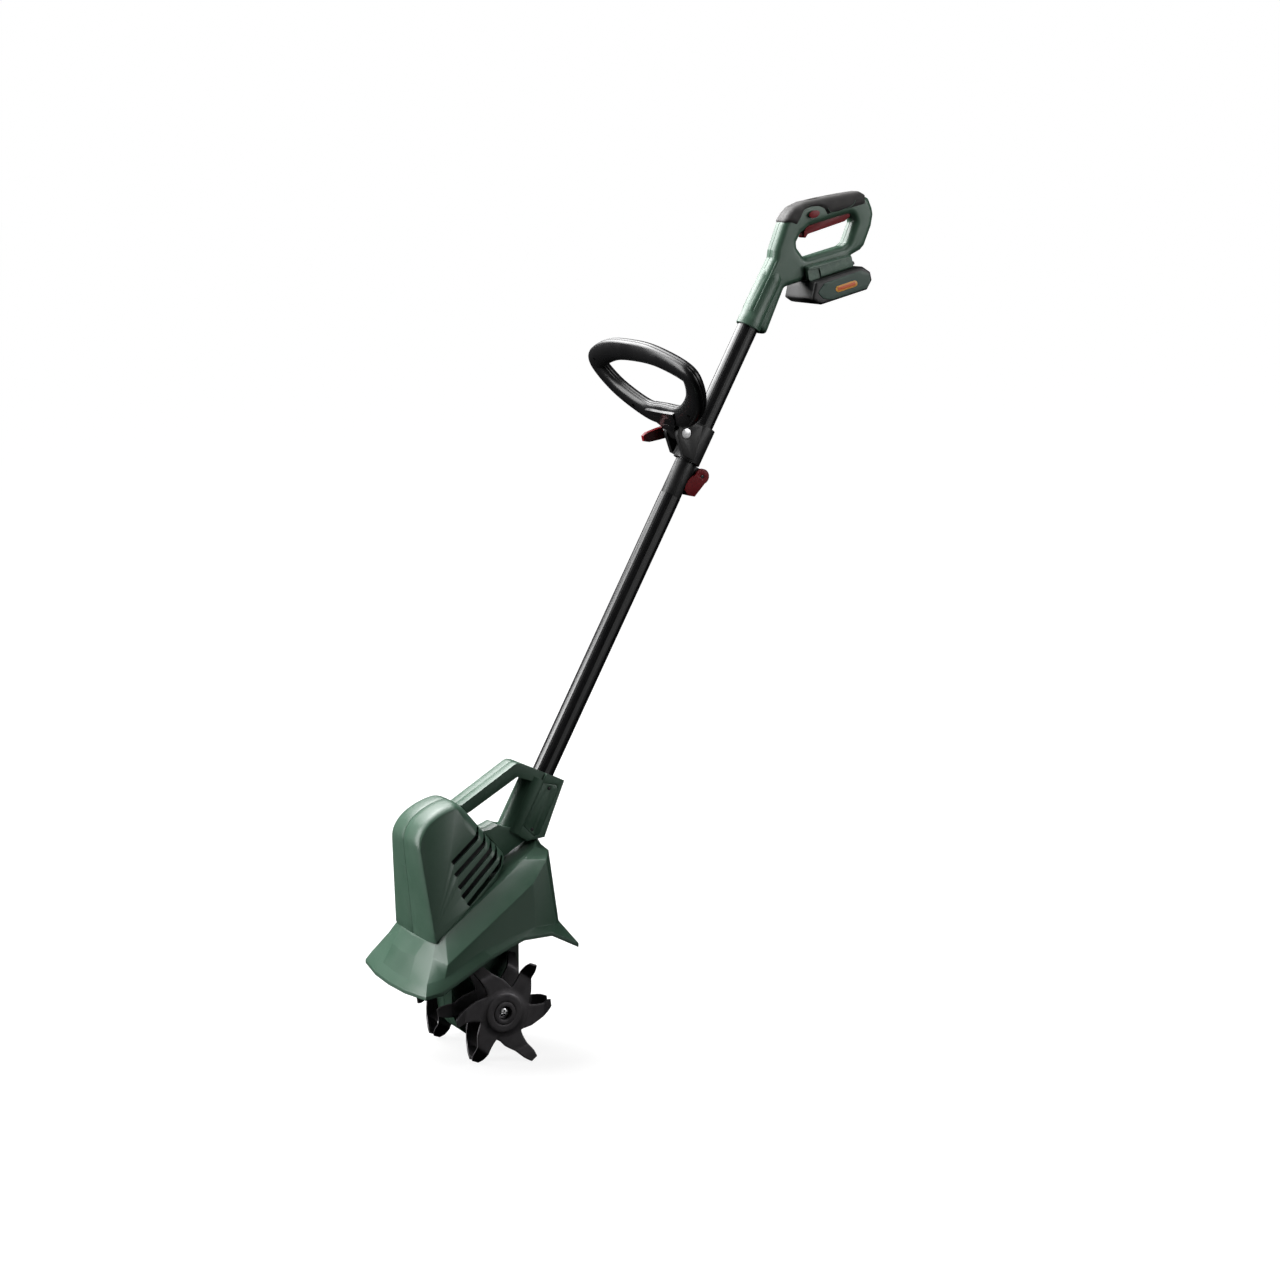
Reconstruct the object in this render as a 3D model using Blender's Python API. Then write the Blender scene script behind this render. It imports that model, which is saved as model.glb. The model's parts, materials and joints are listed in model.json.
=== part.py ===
"""Battery mini cultivator: tine head, two-piece pole, loop handle and D handle with its battery.

Metres, +Z up. The machine's front faces -Y, its left side +X, and the user stands behind it at +Y.
The head, the pole and the D handle are symmetric about X = 0. The tine tips stand on Z = 0.
"""

import math

import bmesh
import bpy
from mathutils import Matrix, Vector

# Driving dimensions ---------------------------------------------------------------------------

AXLE_Y = -0.2454  # places the middle of the whole machine above the origin
AXLE_HEIGHT = 0.07025
GAP = 0.0003  # clearance between touching pieces
SPLIT = 0.0010  # halves are built this far past the split plane, then trimmed back to it

TINE_RADIUS = 0.0785
TINE_BEND = 0.014  # how far each tooth tip leans out of its disc's plane
TINE_TEETH = 6
TINE_ANGLE = math.radians(-2)  # the outer discs' tooth nearest the back
INNER_TINE_LEAD = math.radians(1.5)  # how far the inner discs are turned ahead of the outer ones
OUTER_DISC_X = 0.085
INNER_DISC_X = 0.047
DISC_THICKNESS = 0.003
HUB_RADIUS = 0.0160
HUB_FACE = OUTER_DISC_X + DISC_THICKNESS / 2 + 0.0020
HUB_RECESS = 0.0080  # depth of the recess that the axle's end screw sits in
AXLE_RADIUS = 0.0070

WHEEL_TEETH = 24
WHEEL_RADIUS = 0.027
WORM_RADIUS = 0.009
TOOTH_DEPTH = 0.0022
WORM_PITCH = 2 * math.pi * WHEEL_RADIUS / WHEEL_TEETH
MOTOR_Y = -(WHEEL_RADIUS + WORM_RADIUS + 0.0008)  # worm shaft, in front of the axle

CASE_RADIUS = 0.0515
CASE_HALF_WIDTH = 0.0255
CASE_TOP = 0.186

TUBE_RADIUS = 0.0150
TUBE_WALL = 0.0018
INNER_TUBE_RADIUS = 0.0126
POLE_LEAN = math.radians(28.2)
POLE_TRAVEL = 0.100  # how far the upper pole slides out

BATTERY_TILT = math.radians(14.3)

DECK_SLOPE = 0.754  # the hood's top climbs this much for each metre backwards
DECK_FRONT = Vector((0.0, -0.098, 0.173))

MATERIALS = {
    "green_plastic": ((0.115, 0.190, 0.135), 0.42, 0.0),
    "black_plastic": ((0.018, 0.018, 0.019), 0.38, 0.0),
    "soft_grip": ((0.030, 0.028, 0.028), 0.62, 0.0),
    "red_plastic": ((0.260, 0.018, 0.026), 0.35, 0.0),
    "painted_tube": ((0.012, 0.012, 0.013), 0.28, 0.0),
    "tine_steel": ((0.055, 0.053, 0.055), 0.48, 0.0),
    "bright_steel": ((0.62, 0.62, 0.63), 0.25, 1.0),
    "bronze": ((0.55, 0.36, 0.15), 0.40, 1.0),
}

# Frame helpers --------------------------------------------------------------------------------

POLE_DIR = Vector((0.0, math.sin(POLE_LEAN), math.cos(POLE_LEAN)))
POLE_ACROSS = Vector((0.0, math.cos(POLE_LEAN), -math.sin(POLE_LEAN)))
POLE_FOOT = Vector((0.0, 0.1002, 0.3761))
X_AXIS = Vector((1.0, 0.0, 0.0))
Z_AXIS = Vector((0.0, 0.0, 1.0))


def on_pole(distance, across=0.0):
    """The point this far up the pole's axis, and this far behind it."""
    return POLE_FOOT + POLE_DIR * distance + POLE_ACROSS * across


def deck(y):
    """Height of the hood's sloping top at this distance behind the axle."""
    return DECK_FRONT.z + DECK_SLOPE * (y - DECK_FRONT.y)


def clear_scene():
    for obj in list(bpy.data.objects):
        bpy.data.objects.remove(obj, do_unlink=True)


def make_material(name):
    colour, roughness, metallic = MATERIALS[name]
    material = bpy.data.materials.new(name)
    material.use_nodes = True
    shader = material.node_tree.nodes["Principled BSDF"]
    shader.inputs["Base Color"].default_value = (*colour, 1.0)
    shader.inputs["Roughness"].default_value = roughness
    shader.inputs["Metallic"].default_value = metallic
    return material


def add_object(name, bm, material, pivot=(0.0, 0.0, 0.0)):
    """Turns a bmesh, given relative to the axle's foot, into an object whose origin is at pivot."""
    pivot = Vector(pivot)
    bmesh.ops.translate(bm, verts=bm.verts, vec=-pivot)
    mesh = bpy.data.meshes.new(name)
    bm.to_mesh(mesh)
    bm.free()
    obj = bpy.data.objects.new(name, mesh)
    obj.location = pivot + Vector((0.0, AXLE_Y, 0.0))
    bpy.context.scene.collection.objects.link(obj)
    if material:
        mesh.materials.append(bpy.data.materials[material])
    mesh.shade_smooth()
    mesh.set_sharp_from_angle(angle=math.radians(30))
    return obj


def boolean(obj, bm, operation="DIFFERENCE"):
    """Cuts a bmesh out of an object, or joins it on, with a hidden helper object."""
    helper = add_object(f"{obj.name}_helper_{len(obj.modifiers)}", bm, None)
    helper.hide_render = True
    helper.display_type = "WIRE"
    modifier = obj.modifiers.new(f"{operation.lower()}_{len(obj.modifiers)}", "BOOLEAN")
    modifier.object = helper
    modifier.operation = operation
    modifier.solver = "EXACT"
    weld = obj.modifiers.new(f"weld_{len(obj.modifiers)}", "WELD")
    weld.merge_threshold = 0.00002


# Shape helpers --------------------------------------------------------------------------------


def prism(outline, x_from, x_to):
    """A flat (y, z) outline made solid between two X planes."""
    bm = bmesh.new()
    loops = []
    for x in (x_from, x_to):
        loops.append([bm.verts.new((x, y, z)) for y, z in outline])
    count = len(outline)
    for i in range(count):
        j = (i + 1) % count
        bm.faces.new((loops[0][i], loops[0][j], loops[1][j], loops[1][i]))
    bm.faces.new(loops[0])
    bm.faces.new(loops[1])
    bmesh.ops.recalc_face_normals(bm, faces=bm.faces)
    return bm


def frame_about(axis):
    """Two unit vectors across an axis."""
    axis = axis.normalized()
    side = axis.cross(X_AXIS)
    if side.length < 0.1:
        side = axis.cross(Z_AXIS)
    side.normalize()
    return side, axis.cross(side)


def turned(profile, centre, axis, segments=24):
    """A closed (radius, distance) profile turned about an axis. A radius of 0 ends in a point."""
    bm = bmesh.new()
    centre = Vector(centre)
    axis = Vector(axis).normalized()
    side, other = frame_about(axis)
    rings = []
    for radius, distance in profile:
        middle = centre + axis * distance
        if radius == 0:
            rings.append([bm.verts.new(middle)] * segments)
            continue
        ring = []
        for i in range(segments):
            angle = 2 * math.pi * (i + 0.5) / segments
            ring.append(bm.verts.new(middle + (side * math.cos(angle) + other * math.sin(angle)) * radius))
        rings.append(ring)
    for first, second in zip(rings, rings[1:] + rings[:1]):
        for i in range(segments):
            j = (i + 1) % segments
            corners = []
            for vert in (first[i], first[j], second[j], second[i]):
                if vert not in corners:
                    corners.append(vert)
            if len(corners) > 2:
                bm.faces.new(corners)
    bmesh.ops.recalc_face_normals(bm, faces=bm.faces)
    return bm


def rod(radius, start, end, segments=24):
    """A plain cylinder from one point to another."""
    start = Vector(start)
    run = Vector(end) - start
    return turned([(0, 0), (radius, 0), (radius, run.length), (0, run.length)], start, run, segments)


def sleeve(outer, inner, start, end, segments=24):
    """A tube with open ends from one point to another."""
    start = Vector(start)
    run = Vector(end) - start
    profile = [(inner, 0), (outer, 0), (outer, run.length), (inner, run.length)]
    return turned(profile, start, run, segments)


def block(centre, size, along=None):
    """A box of size (x, y, z), its local Z turned to the direction given, about the X axis."""
    bm = bmesh.new()
    bmesh.ops.create_cube(bm, size=1.0)
    bmesh.ops.scale(bm, vec=size, verts=bm.verts)
    if along is not None:
        turn = math.atan2(-along.y, along.z)
        bmesh.ops.rotate(bm, cent=(0, 0, 0), matrix=Matrix.Rotation(turn, 3, "X"), verts=bm.verts)
    bmesh.ops.translate(bm, vec=centre, verts=bm.verts)
    return bm


def disc_outline(centre, radius, steps=24, start=0.0, sweep=2 * math.pi):
    """Points of a circle, or of part of one, in the (y, z) plane."""
    count = steps if sweep >= 2 * math.pi else steps + 1
    points = []
    for i in range(count):
        angle = start + sweep * i / steps
        points.append((centre[0] + radius * math.cos(angle), centre[1] + radius * math.sin(angle)))
    return points


def beside(side, y_range, z_range):
    """Everything on the other side of the split plane, as a cutter for one half."""
    corners = [(y_range[0], z_range[0]), (y_range[1], z_range[0]), (y_range[1], z_range[1]), (y_range[0], z_range[1])]
    return prism(corners, side * GAP / 2, -side * 0.05)


def swept_loop(path, section, normal):
    """A (outwards, along normal) section swept round a flat closed path."""
    bm = bmesh.new()
    count = len(path)
    rings = []
    for i in range(count):
        tangent = (path[(i + 1) % count] - path[i - 1]).normalized()
        outwards = tangent.cross(normal).normalized()
        rings.append([bm.verts.new(path[i] + outwards * a + normal * b) for a, b in section])
    for i in range(count):
        first, second = rings[i], rings[(i + 1) % count]
        for k in range(len(section)):
            m = (k + 1) % len(section)
            bm.faces.new((first[k], first[m], second[m], second[k]))
    bmesh.ops.recalc_face_normals(bm, faces=bm.faces)
    return bm


def coil(centre, radius, wire, turns, length, sides=5, steps=10):
    """A wire coil about an axis along X."""
    bm = bmesh.new()
    rings = []
    total = int(turns * steps)
    for i in range(total + 1):
        angle = 2 * math.pi * i / steps
        outwards = Vector((0, math.cos(angle), math.sin(angle)))
        middle = Vector(centre) + outwards * radius + X_AXIS * (length * (i / total - 0.5))
        ring = []
        for k in range(sides):
            turn = 2 * math.pi * k / sides
            ring.append(bm.verts.new(middle + (outwards * math.cos(turn) + X_AXIS * math.sin(turn)) * wire))
        rings.append(ring)
    for first, second in zip(rings, rings[1:]):
        for k in range(sides):
            m = (k + 1) % sides
            bm.faces.new((first[k], first[m], second[m], second[k]))
    bm.faces.new(rings[0])
    bm.faces.new(rings[-1])
    bmesh.ops.recalc_face_normals(bm, faces=bm.faces)
    return bm


# Tines and axle -------------------------------------------------------------------------------

AXLE = Vector((0.0, 0.0, AXLE_HEIGHT))

# One tooth: radius in metres and angle in degrees from its tip, from the notch in front of it
# round to the notch behind it. The stretch between the two fold points leans out of the plane.
TOOTH_FRONT = [(0.036, 14.0), (0.050, 8.5)]
TOOTH_FOLD = [(0.061, 8.0), (0.0595, -1.5), (0.060, -11.0)]
TOOTH_TIP = [(0.070, 8.0), (0.0768, 6.5), (TINE_RADIUS, -1.5), (0.071, -6.0)]
TOOTH_BACK = [(0.050, -25.0), (0.043, -36.0), (0.039, -44.0)]


def tine_disc(name, x, turn, first_lean):
    """A steel disc with hooked teeth whose tips lean outwards and inwards in turn."""
    bm = bmesh.new()
    layers = []
    for depth in (-DISC_THICKNESS / 2, DISC_THICKNESS / 2):
        bore, rim, edge, tips = [], [], [], []
        for tooth in range(TINE_TEETH):
            tooth_angle = turn - tooth * 2 * math.pi / TINE_TEETH
            lean = first_lean * TINE_BEND * (-1) ** tooth

            def point(radius, degrees, offset=0.0):
                angle = tooth_angle + math.radians(degrees)
                return AXLE + Vector((x + depth + offset, radius * math.cos(angle), radius * math.sin(angle)))

            base = [point(*p) for p in TOOTH_FRONT + TOOTH_FOLD + TOOTH_BACK]
            for p, (_, degrees) in zip(base, TOOTH_FRONT + TOOTH_FOLD + TOOTH_BACK):
                rim.append(bm.verts.new(p))
                bore.append(bm.verts.new(point(HUB_RADIUS + GAP, degrees)))
            fold = rim[-6], rim[-5], rim[-4]
            along = (fold[2].co - fold[0].co).normalized()
            outwards = X_AXIS.cross(along)
            outwards *= math.copysign(1.0, outwards.dot(fold[0].co - AXLE - X_AXIS * x))
            reach = (point(TINE_RADIUS, 0) - fold[0].co).dot(outwards)
            tip = []
            for radius, degrees in TOOTH_TIP:
                p = point(radius, degrees)
                p.x += lean * (p - fold[0].co).dot(outwards) / reach
                tip.append(bm.verts.new(p))
            tips.append((fold, tip))
            edge += [rim[-8], rim[-7], fold[0], *tip, fold[2], rim[-3], rim[-2], rim[-1]]
        layers.append((bore, rim, edge, tips))
    for bore, rim, _, tips in layers:
        for i in range(len(rim)):
            j = (i + 1) % len(rim)
            bm.faces.new((bore[i], bore[j], rim[j], rim[i]))
        for (front, middle, back), tip in tips:
            bm.faces.new((front, middle, back, *reversed(tip)))
    for ring in (0, 2):
        first, second = layers[0][ring], layers[1][ring]
        for i in range(len(first)):
            j = (i + 1) % len(first)
            bm.faces.new((first[i], first[j], second[j], second[i]))
    bmesh.ops.recalc_face_normals(bm, faces=bm.faces)
    return add_object(name, bm, "tine_steel", AXLE)


def tine_hub(name, side):
    """The sleeve that carries two discs, with a deep recess for the axle's end screw."""
    case_side = CASE_HALF_WIDTH + 0.0012
    profile = [
        (AXLE_RADIUS + GAP, case_side),
        (HUB_RADIUS, case_side),
        (HUB_RADIUS, HUB_FACE),
        (0.0095, HUB_FACE),
        (0.0095, HUB_FACE - HUB_RECESS),
        (AXLE_RADIUS + GAP, HUB_FACE - HUB_RECESS),
    ]
    return add_object(name, turned(profile, AXLE, X_AXIS * side, 28), "tine_steel", AXLE)


def axle_screw(name, side):
    """A pan-head screw in the end of the axle."""
    start = HUB_FACE - HUB_RECESS + GAP
    profile = [(0, 0), (0.0085, 0), (0.0085, 0.0022), (0.0060, 0.0042), (0, 0.0048)]
    return add_object(name, turned(profile, AXLE + X_AXIS * side * start, X_AXIS * side, 20), "bright_steel", AXLE)


def worm_wheel():
    """A toothed wheel on the axle, its teeth slanted to suit the worm."""
    half_width = 0.005
    slant = 2 * half_width * WORM_PITCH / (2 * math.pi * WORM_RADIUS) / WHEEL_RADIUS
    bm = bmesh.new()
    layers = []
    for end, twist in ((-half_width, slant / 2), (half_width, -slant / 2)):
        rim, bore = [], []
        for tooth in range(WHEEL_TEETH):
            for radius, share in ((-0.55, 0.34), (0.45, 0.42), (0.45, 0.58), (-0.55, 0.66)):
                angle = math.pi + twist + (tooth + share) * 2 * math.pi / WHEEL_TEETH
                away = Vector((0, math.cos(angle), math.sin(angle)))
                rim.append(bm.verts.new(AXLE + X_AXIS * end + away * (WHEEL_RADIUS + radius * TOOTH_DEPTH)))
                bore.append(bm.verts.new(AXLE + X_AXIS * end + away * (AXLE_RADIUS + GAP)))
        layers.append((bore, rim))
    for bore, rim in layers:
        for i in range(len(rim)):
            j = (i + 1) % len(rim)
            bm.faces.new((bore[i], bore[j], rim[j], rim[i]))
    for ring in (0, 1):
        first, second = layers[0][ring], layers[1][ring]
        for i in range(len(first)):
            j = (i + 1) % len(first)
            bm.faces.new((first[i], first[j], second[j], second[i]))
    bmesh.ops.recalc_face_normals(bm, faces=bm.faces)
    return add_object("worm_wheel", bm, "bronze", AXLE)


def build_tines():
    for side, word in ((1, "left"), (-1, "right")):
        tine_disc(f"outer_tine_{word}", side * OUTER_DISC_X, TINE_ANGLE, -side)
        tine_disc(f"inner_tine_{word}", side * INNER_DISC_X, TINE_ANGLE + INNER_TINE_LEAD, side)
        tine_hub(f"tine_hub_{word}", side)
        axle_screw(f"axle_screw_{word}", side)
    end = HUB_FACE - HUB_RECESS
    add_object("tine_axle", rod(AXLE_RADIUS, AXLE - X_AXIS * end, AXLE + X_AXIS * end), "bright_steel", AXLE)
    worm_wheel()


# Gear case and motor --------------------------------------------------------------------------


def case_outline(inset):
    """The gear case from the side: round below the axle, straight up to its flange."""
    radius = CASE_RADIUS - inset
    bottom = disc_outline((0.0, AXLE_HEIGHT), radius, 20, math.pi, math.pi)
    return [*bottom, (radius, CASE_TOP - inset), (-radius, CASE_TOP - inset)]


MOTOR = Vector((0.0, MOTOR_Y, 0.0))
BEARING_X = 0.0185


def gear_case_half(name, side):
    """Half of the split gear case, with its cavity and the holes for the axle and the motor shaft."""
    half = add_object(name, prism(case_outline(0), side * GAP / 2, side * CASE_HALF_WIDTH), "green_plastic")
    boolean(half, prism(case_outline(0.0025), -side * 0.01, side * (CASE_HALF_WIDTH - 0.003)))
    boolean(half, rod(0.0105, AXLE, AXLE + X_AXIS * side * 0.04))
    boolean(half, rod(0.0085, MOTOR + Z_AXIS * 0.150, MOTOR + Z_AXIS * 0.200))
    return half


def axle_bearing(name, side):
    start = AXLE + X_AXIS * side * (CASE_HALF_WIDTH - 0.0070)
    end = AXLE + X_AXIS * side * (CASE_HALF_WIDTH - GAP)
    return add_object(name, sleeve(0.0102, AXLE_RADIUS + GAP, start, end), "bronze", AXLE)


def worm():
    """A single-start worm: the radius of each point follows the thread that passes it."""
    bm = bmesh.new()
    sides, rows_per_turn, turns = 16, 6, 4
    bore = 0.0030 + GAP
    rows = rows_per_turn * turns
    rings = []
    for row in range(rows + 1):
        height = (row / rows_per_turn - turns / 2) * WORM_PITCH
        ring = []
        for i in range(sides):
            angle = 2 * math.pi * i / sides
            phase = (height / WORM_PITCH - angle / (2 * math.pi) + 0.25) % 1.0
            crest = max(0.0, 1.0 - 3.2 * min(phase, 1.0 - phase))
            radius = WORM_RADIUS + TOOTH_DEPTH * (crest - 0.55)
            if row in (0, rows):
                radius = WORM_RADIUS - 0.55 * TOOTH_DEPTH
            ring.append(bm.verts.new((radius * math.cos(angle), radius * math.sin(angle), height)))
        rings.append(ring)
    ends = []
    for height in (-turns / 2 * WORM_PITCH, turns / 2 * WORM_PITCH):
        ring = []
        for i in range(sides):
            angle = 2 * math.pi * i / sides
            ring.append(bm.verts.new((bore * math.cos(angle), bore * math.sin(angle), height)))
        ends.append(ring)
    rings = [ends[0], *rings, ends[1]]
    for first, second in zip(rings, rings[1:] + rings[:1]):
        for i in range(sides):
            j = (i + 1) % sides
            bm.faces.new((first[i], first[j], second[j], second[i]))
    bmesh.ops.recalc_face_normals(bm, faces=bm.faces)
    bmesh.ops.translate(bm, verts=bm.verts, vec=MOTOR + Z_AXIS * AXLE_HEIGHT)
    return add_object("worm", bm, "bright_steel", MOTOR)


def build_drive():
    for side, word in ((1, "left"), (-1, "right")):
        gear_case_half(f"gear_case_{word}", side)
        axle_bearing(f"axle_bearing_{word}", side)
    worm()
    can_profile = [
        (0.0068, 0.1900),
        (0.0220, 0.1900),
        (0.0220, 0.2640),
        (0.0068, 0.2640),
        (0.0068, 0.2620),
        (0.0200, 0.2620),
        (0.0200, 0.1920),
        (0.0068, 0.1920),
    ]
    add_object("motor_can", turned(can_profile, MOTOR, Z_AXIS, 28), "bright_steel", MOTOR)
    rotor_profile = [
        (0, 0.0445),
        (0.0030, 0.0445),
        (0.0030, 0.2000),
        (0.0160, 0.2000),
        (0.0160, 0.2450),
        (0.0030, 0.2450),
        (0.0030, 0.2860),
        (0, 0.2860),
    ]
    add_object("motor_rotor", turned(rotor_profile, MOTOR, Z_AXIS, 24), "bright_steel", MOTOR)
    for name, height in (("motor_bearing_lower", 0.1903), ("motor_bearing_upper", 0.2623)):
        low = MOTOR + Z_AXIS * height
        add_object(name, sleeve(0.0065, 0.0033, low, low + Z_AXIS * 0.0050, 20), "bright_steel", MOTOR)
    fan_profile = [
        (0.0033, 0.2700),
        (0.0190, 0.2700),
        (0.0190, 0.2715),
        (0.0070, 0.2725),
        (0.0070, 0.2800),
        (0.0033, 0.2800),
    ]
    fan = add_object("cooling_fan", turned(fan_profile, MOTOR, Z_AXIS, 24), "black_plastic", MOTOR)
    for i in range(8):
        blade = block((0.0125, 0, 0.2745), (0.0125, 0.0012, 0.0075))
        turn = Matrix.Rotation(2 * math.pi * (i + 0.5) / 8, 3, "Z")
        bmesh.ops.rotate(blade, cent=(0, 0, 0), matrix=turn, verts=blade.verts)
        bmesh.ops.translate(blade, vec=MOTOR, verts=blade.verts)
        boolean(fan, blade, "UNION")


# Hood and motor housing -----------------------------------------------------------------------


def hood_rings():
    """Half outlines of the hood, front to back, from its deck opening out to its turned-down rim."""
    opening = [(0, -0.072), (0.022, -0.072), (0.034, -0.066), (0.036, -0.055), (0.036, -0.030)]
    opening += [(0.036, -0.008), (0.034, 0.002), (0.022, 0.008), (0, 0.008)]
    opening = [(x, y, deck(y)) for x, y in opening]
    shoulder = [(0, -0.099), (0.040, -0.097), (0.064, -0.092), (0.0685, -0.080), (0.0685, -0.035), (0.0685, 0.010)]
    shoulder = [(x, y, deck(y)) for x, y in shoulder]
    shoulder += [(0.067, 0.040, 0.277), (0.045, 0.066, 0.286), (0, 0.092, 0.290)]
    wall_top = [
        (0, -0.116, 0.152),
        (0.038, -0.111, 0.153),
        (0.070, -0.099, 0.157),
        (0.098, -0.089, 0.154),
        (0.0985, -0.030, 0.1985),
        (0.0985, 0.039, 0.251),
        (0.088, 0.064, 0.279),
        (0.050, 0.086, 0.282),
        (0, 0.099, 0.277),
    ]
    wall_foot = [
        (0, -0.125, 0.124),
        (0.045, -0.123, 0.125),
        (0.094, -0.119, 0.129),
        (0.101, -0.095, 0.136),
        (0.102, -0.040, 0.168),
        (0.102, 0.040, 0.191),
        (0.090, 0.078, 0.188),
        (0.052, 0.100, 0.180),
        (0, 0.112, 0.175),
    ]
    rim = [
        (0, -0.135, 0.112),
        (0.050, -0.133, 0.1125),
        (0.104, -0.125, 0.115),
        (0.109, -0.102, 0.120),
        (0.109, -0.030, 0.161),
        (0.109, 0.020, 0.181),
        (0.109, 0.062, 0.182),
        (0.108, 0.103, 0.161),
        (0, 0.122, 0.152),
    ]
    lip = [(x, y, z - 0.0055) for x, y, z in rim]
    return [opening, shoulder, wall_top, wall_foot, rim, lip]


def build_hood():
    """One moulded guard: a sloping deck, faceted walls and a flange that flares out over the tines."""
    bm = bmesh.new()
    rings = []
    for half in hood_rings():
        mirrored = [(-x, y, z) for x, y, z in reversed(half[1:-1])]
        rings.append([bm.verts.new(p) for p in half + mirrored])
    for first, second in zip(rings, rings[1:]):
        for i in range(len(first)):
            j = (i + 1) % len(first)
            bm.faces.new((first[i], first[j], second[j], second[i]))
    bmesh.ops.triangulate(bm, faces=bm.faces)
    bmesh.ops.recalc_face_normals(bm, faces=bm.faces)
    lowest = min(bm.faces, key=lambda face: face.calc_center_median().y)
    if lowest.normal.y > 0:
        bmesh.ops.reverse_faces(bm, faces=bm.faces)
    hood = add_object("hood", bm, "green_plastic")
    solid = hood.modifiers.new("wall", "SOLIDIFY")
    solid.thickness = 0.0025
    solid.offset = -1.0


HOUSING_PROFILE = [
    (-0.0955, 0.1650),
    (-0.1080, 0.2900),
    (-0.1090, 0.3120),
    (-0.1030, 0.3280),
    (-0.0910, 0.3410),
    (-0.0720, 0.3520),
    (-0.0520, 0.3580),
    (-0.0400, 0.3560),
    (-0.0280, 0.3450),
    (0.0060, 0.3030),
    (0.0190, 0.2890),
    (0.0245, 0.2760),
    (0.0120, 0.2440),
]
# Share of the half width, then how far the front and the back slope are drawn in there: the
# front keeps a crisp corner, while the back slope rolls over into the sides.
HOUSING_SECTIONS = [
    (0.0, 0.0, 0.0),
    (0.50, 0.0, 0.0),
    (0.78, 0.0008, 0.0020),
    (0.90, 0.0020, 0.0070),
    (0.97, 0.0035, 0.0130),
    (1.0, 0.0050, 0.0200),
]
SLOPE_START = 7  # the first point of the profile that belongs to the back slope
# Each cooling slot: the (y, z) of its front end and of its back end.
VENTS = [
    ((-0.060, 0.2800), (-0.021, 0.3110)),
    ((-0.057, 0.2630), (-0.011, 0.3005)),
    ((-0.053, 0.2455), (-0.002, 0.2910)),
    ((-0.049, 0.2325), (0.0050, 0.2815)),
    ((-0.0415, 0.2215), (0.0100, 0.2690)),
]
VENT_HALF_HEIGHT = 0.0032


def housing_half_width(z):
    """Half the housing's width at this height: its sides lean in towards the top."""
    return max(0.068 - 0.157 * (z - 0.178), 0.040)


def vent_outline(front, back):
    """A cooling slot from the side: a slender bar from its front end to its back end."""
    run = (Vector(back) - Vector(front)).normalized()
    across = Vector((-run.y, run.x)) * VENT_HALF_HEIGHT
    ends = (Vector(front), Vector(back))
    return [tuple(ends[0] - across), tuple(ends[1] - across), tuple(ends[1] + across), tuple(ends[0] + across)]


def below_deck():
    """Everything under the hood's deck, as a cutter for what stands on it."""
    front, back = -0.20, 0.12
    top = [(front, deck(front) + GAP), (back, deck(back) + GAP)]
    return prism([(front, -0.05), *top, (back, -0.05)], -0.15, 0.15)


def motor_housing_half(name, side):
    """Half of the motor cover: a tall rounded shell that leans forward and slopes down behind."""
    middle_y, middle_z = -0.045, 0.250
    bm = bmesh.new()
    rows = []
    for share, front_inset, slope_inset in HOUSING_SECTIONS:
        row = []
        for i, (y, z) in enumerate(HOUSING_PROFILE):
            shrink = 1.0 - (slope_inset if i >= SLOPE_START else front_inset) / 0.075
            y_here = middle_y + (y - middle_y) * shrink
            z_here = middle_z + (z - middle_z) * shrink
            x = max(share * housing_half_width(z_here), GAP / 2)
            row.append(bm.verts.new((side * x, y_here, z_here)))
        rows.append(row)
    for first, second in zip(rows, rows[1:]):
        for i in range(len(first) - 1):
            bm.faces.new((first[i], first[i + 1], second[i + 1], second[i]))
    bm.faces.new(rows[-1])
    bmesh.ops.triangulate(bm, faces=bm.faces)
    bmesh.ops.recalc_face_normals(bm, faces=bm.faces)
    outermost = max(bm.faces, key=lambda face: side * face.calc_center_median().x)
    if side * outermost.normal.x < 0:
        bmesh.ops.reverse_faces(bm, faces=bm.faces)
    half = add_object(name, bm, "green_plastic")
    solid = half.modifiers.new("wall", "SOLIDIFY")
    solid.thickness = 0.0025
    solid.offset = -1.0
    boolean(half, below_deck())
    for ends in VENTS:
        boolean(half, prism(vent_outline(*ends), side * 0.030, side * 0.090))
    return half


# Carry bar and pole socket --------------------------------------------------------------------

CARRY_FRAME = [
    (-0.0310, 0.3503),
    (0.0500, 0.3992),
    (0.0545, 0.4006),
    (0.0620, 0.3990),
    (0.1245, 0.3702),
    (0.1140, 0.3450),
    (0.0860, 0.2950),
    (0.0660, 0.2908),
    (0.0260, 0.2672),
    (0.0262, 0.2762),
    (0.0206, 0.2900),
    (0.0075, 0.3040),
    (0.0020, 0.3108),
    (0.0120, 0.3118),
    (0.0245, 0.3170),
    (0.0360, 0.3125),
    (0.0620, 0.3100),
    (0.0860, 0.3700),
    (0.0545, 0.3815),
    (-0.0165, 0.3408),
    (-0.0212, 0.3386),
]
# The flat sides of the pole socket, behind its round front.
SOCKET = [
    (0.0975, 0.3825),
    (0.1245, 0.3702),
    (0.1052, 0.3231),
    (0.0935, 0.2930),
    (0.0660, 0.2908),
    (0.0529, 0.3005),
]
SOCKET_COVER = [
    (0.0920, 0.3700),
    (0.1125, 0.3655),
    (0.1148, 0.3590),
    (0.0850, 0.2975),
    (0.0775, 0.2960),
    (0.0610, 0.3125),
]
BAR_HALF_WIDTH = 0.0180
SOCKET_HALF_WIDTH = 0.0225
SOCKET_FRONT = -0.0060  # middle of the socket's round front, from the pole's axis
COVER_DEPTH = 0.0020
SOCKET_BOTTOM = -0.0830  # where the pole ends inside the socket, along its axis


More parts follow.
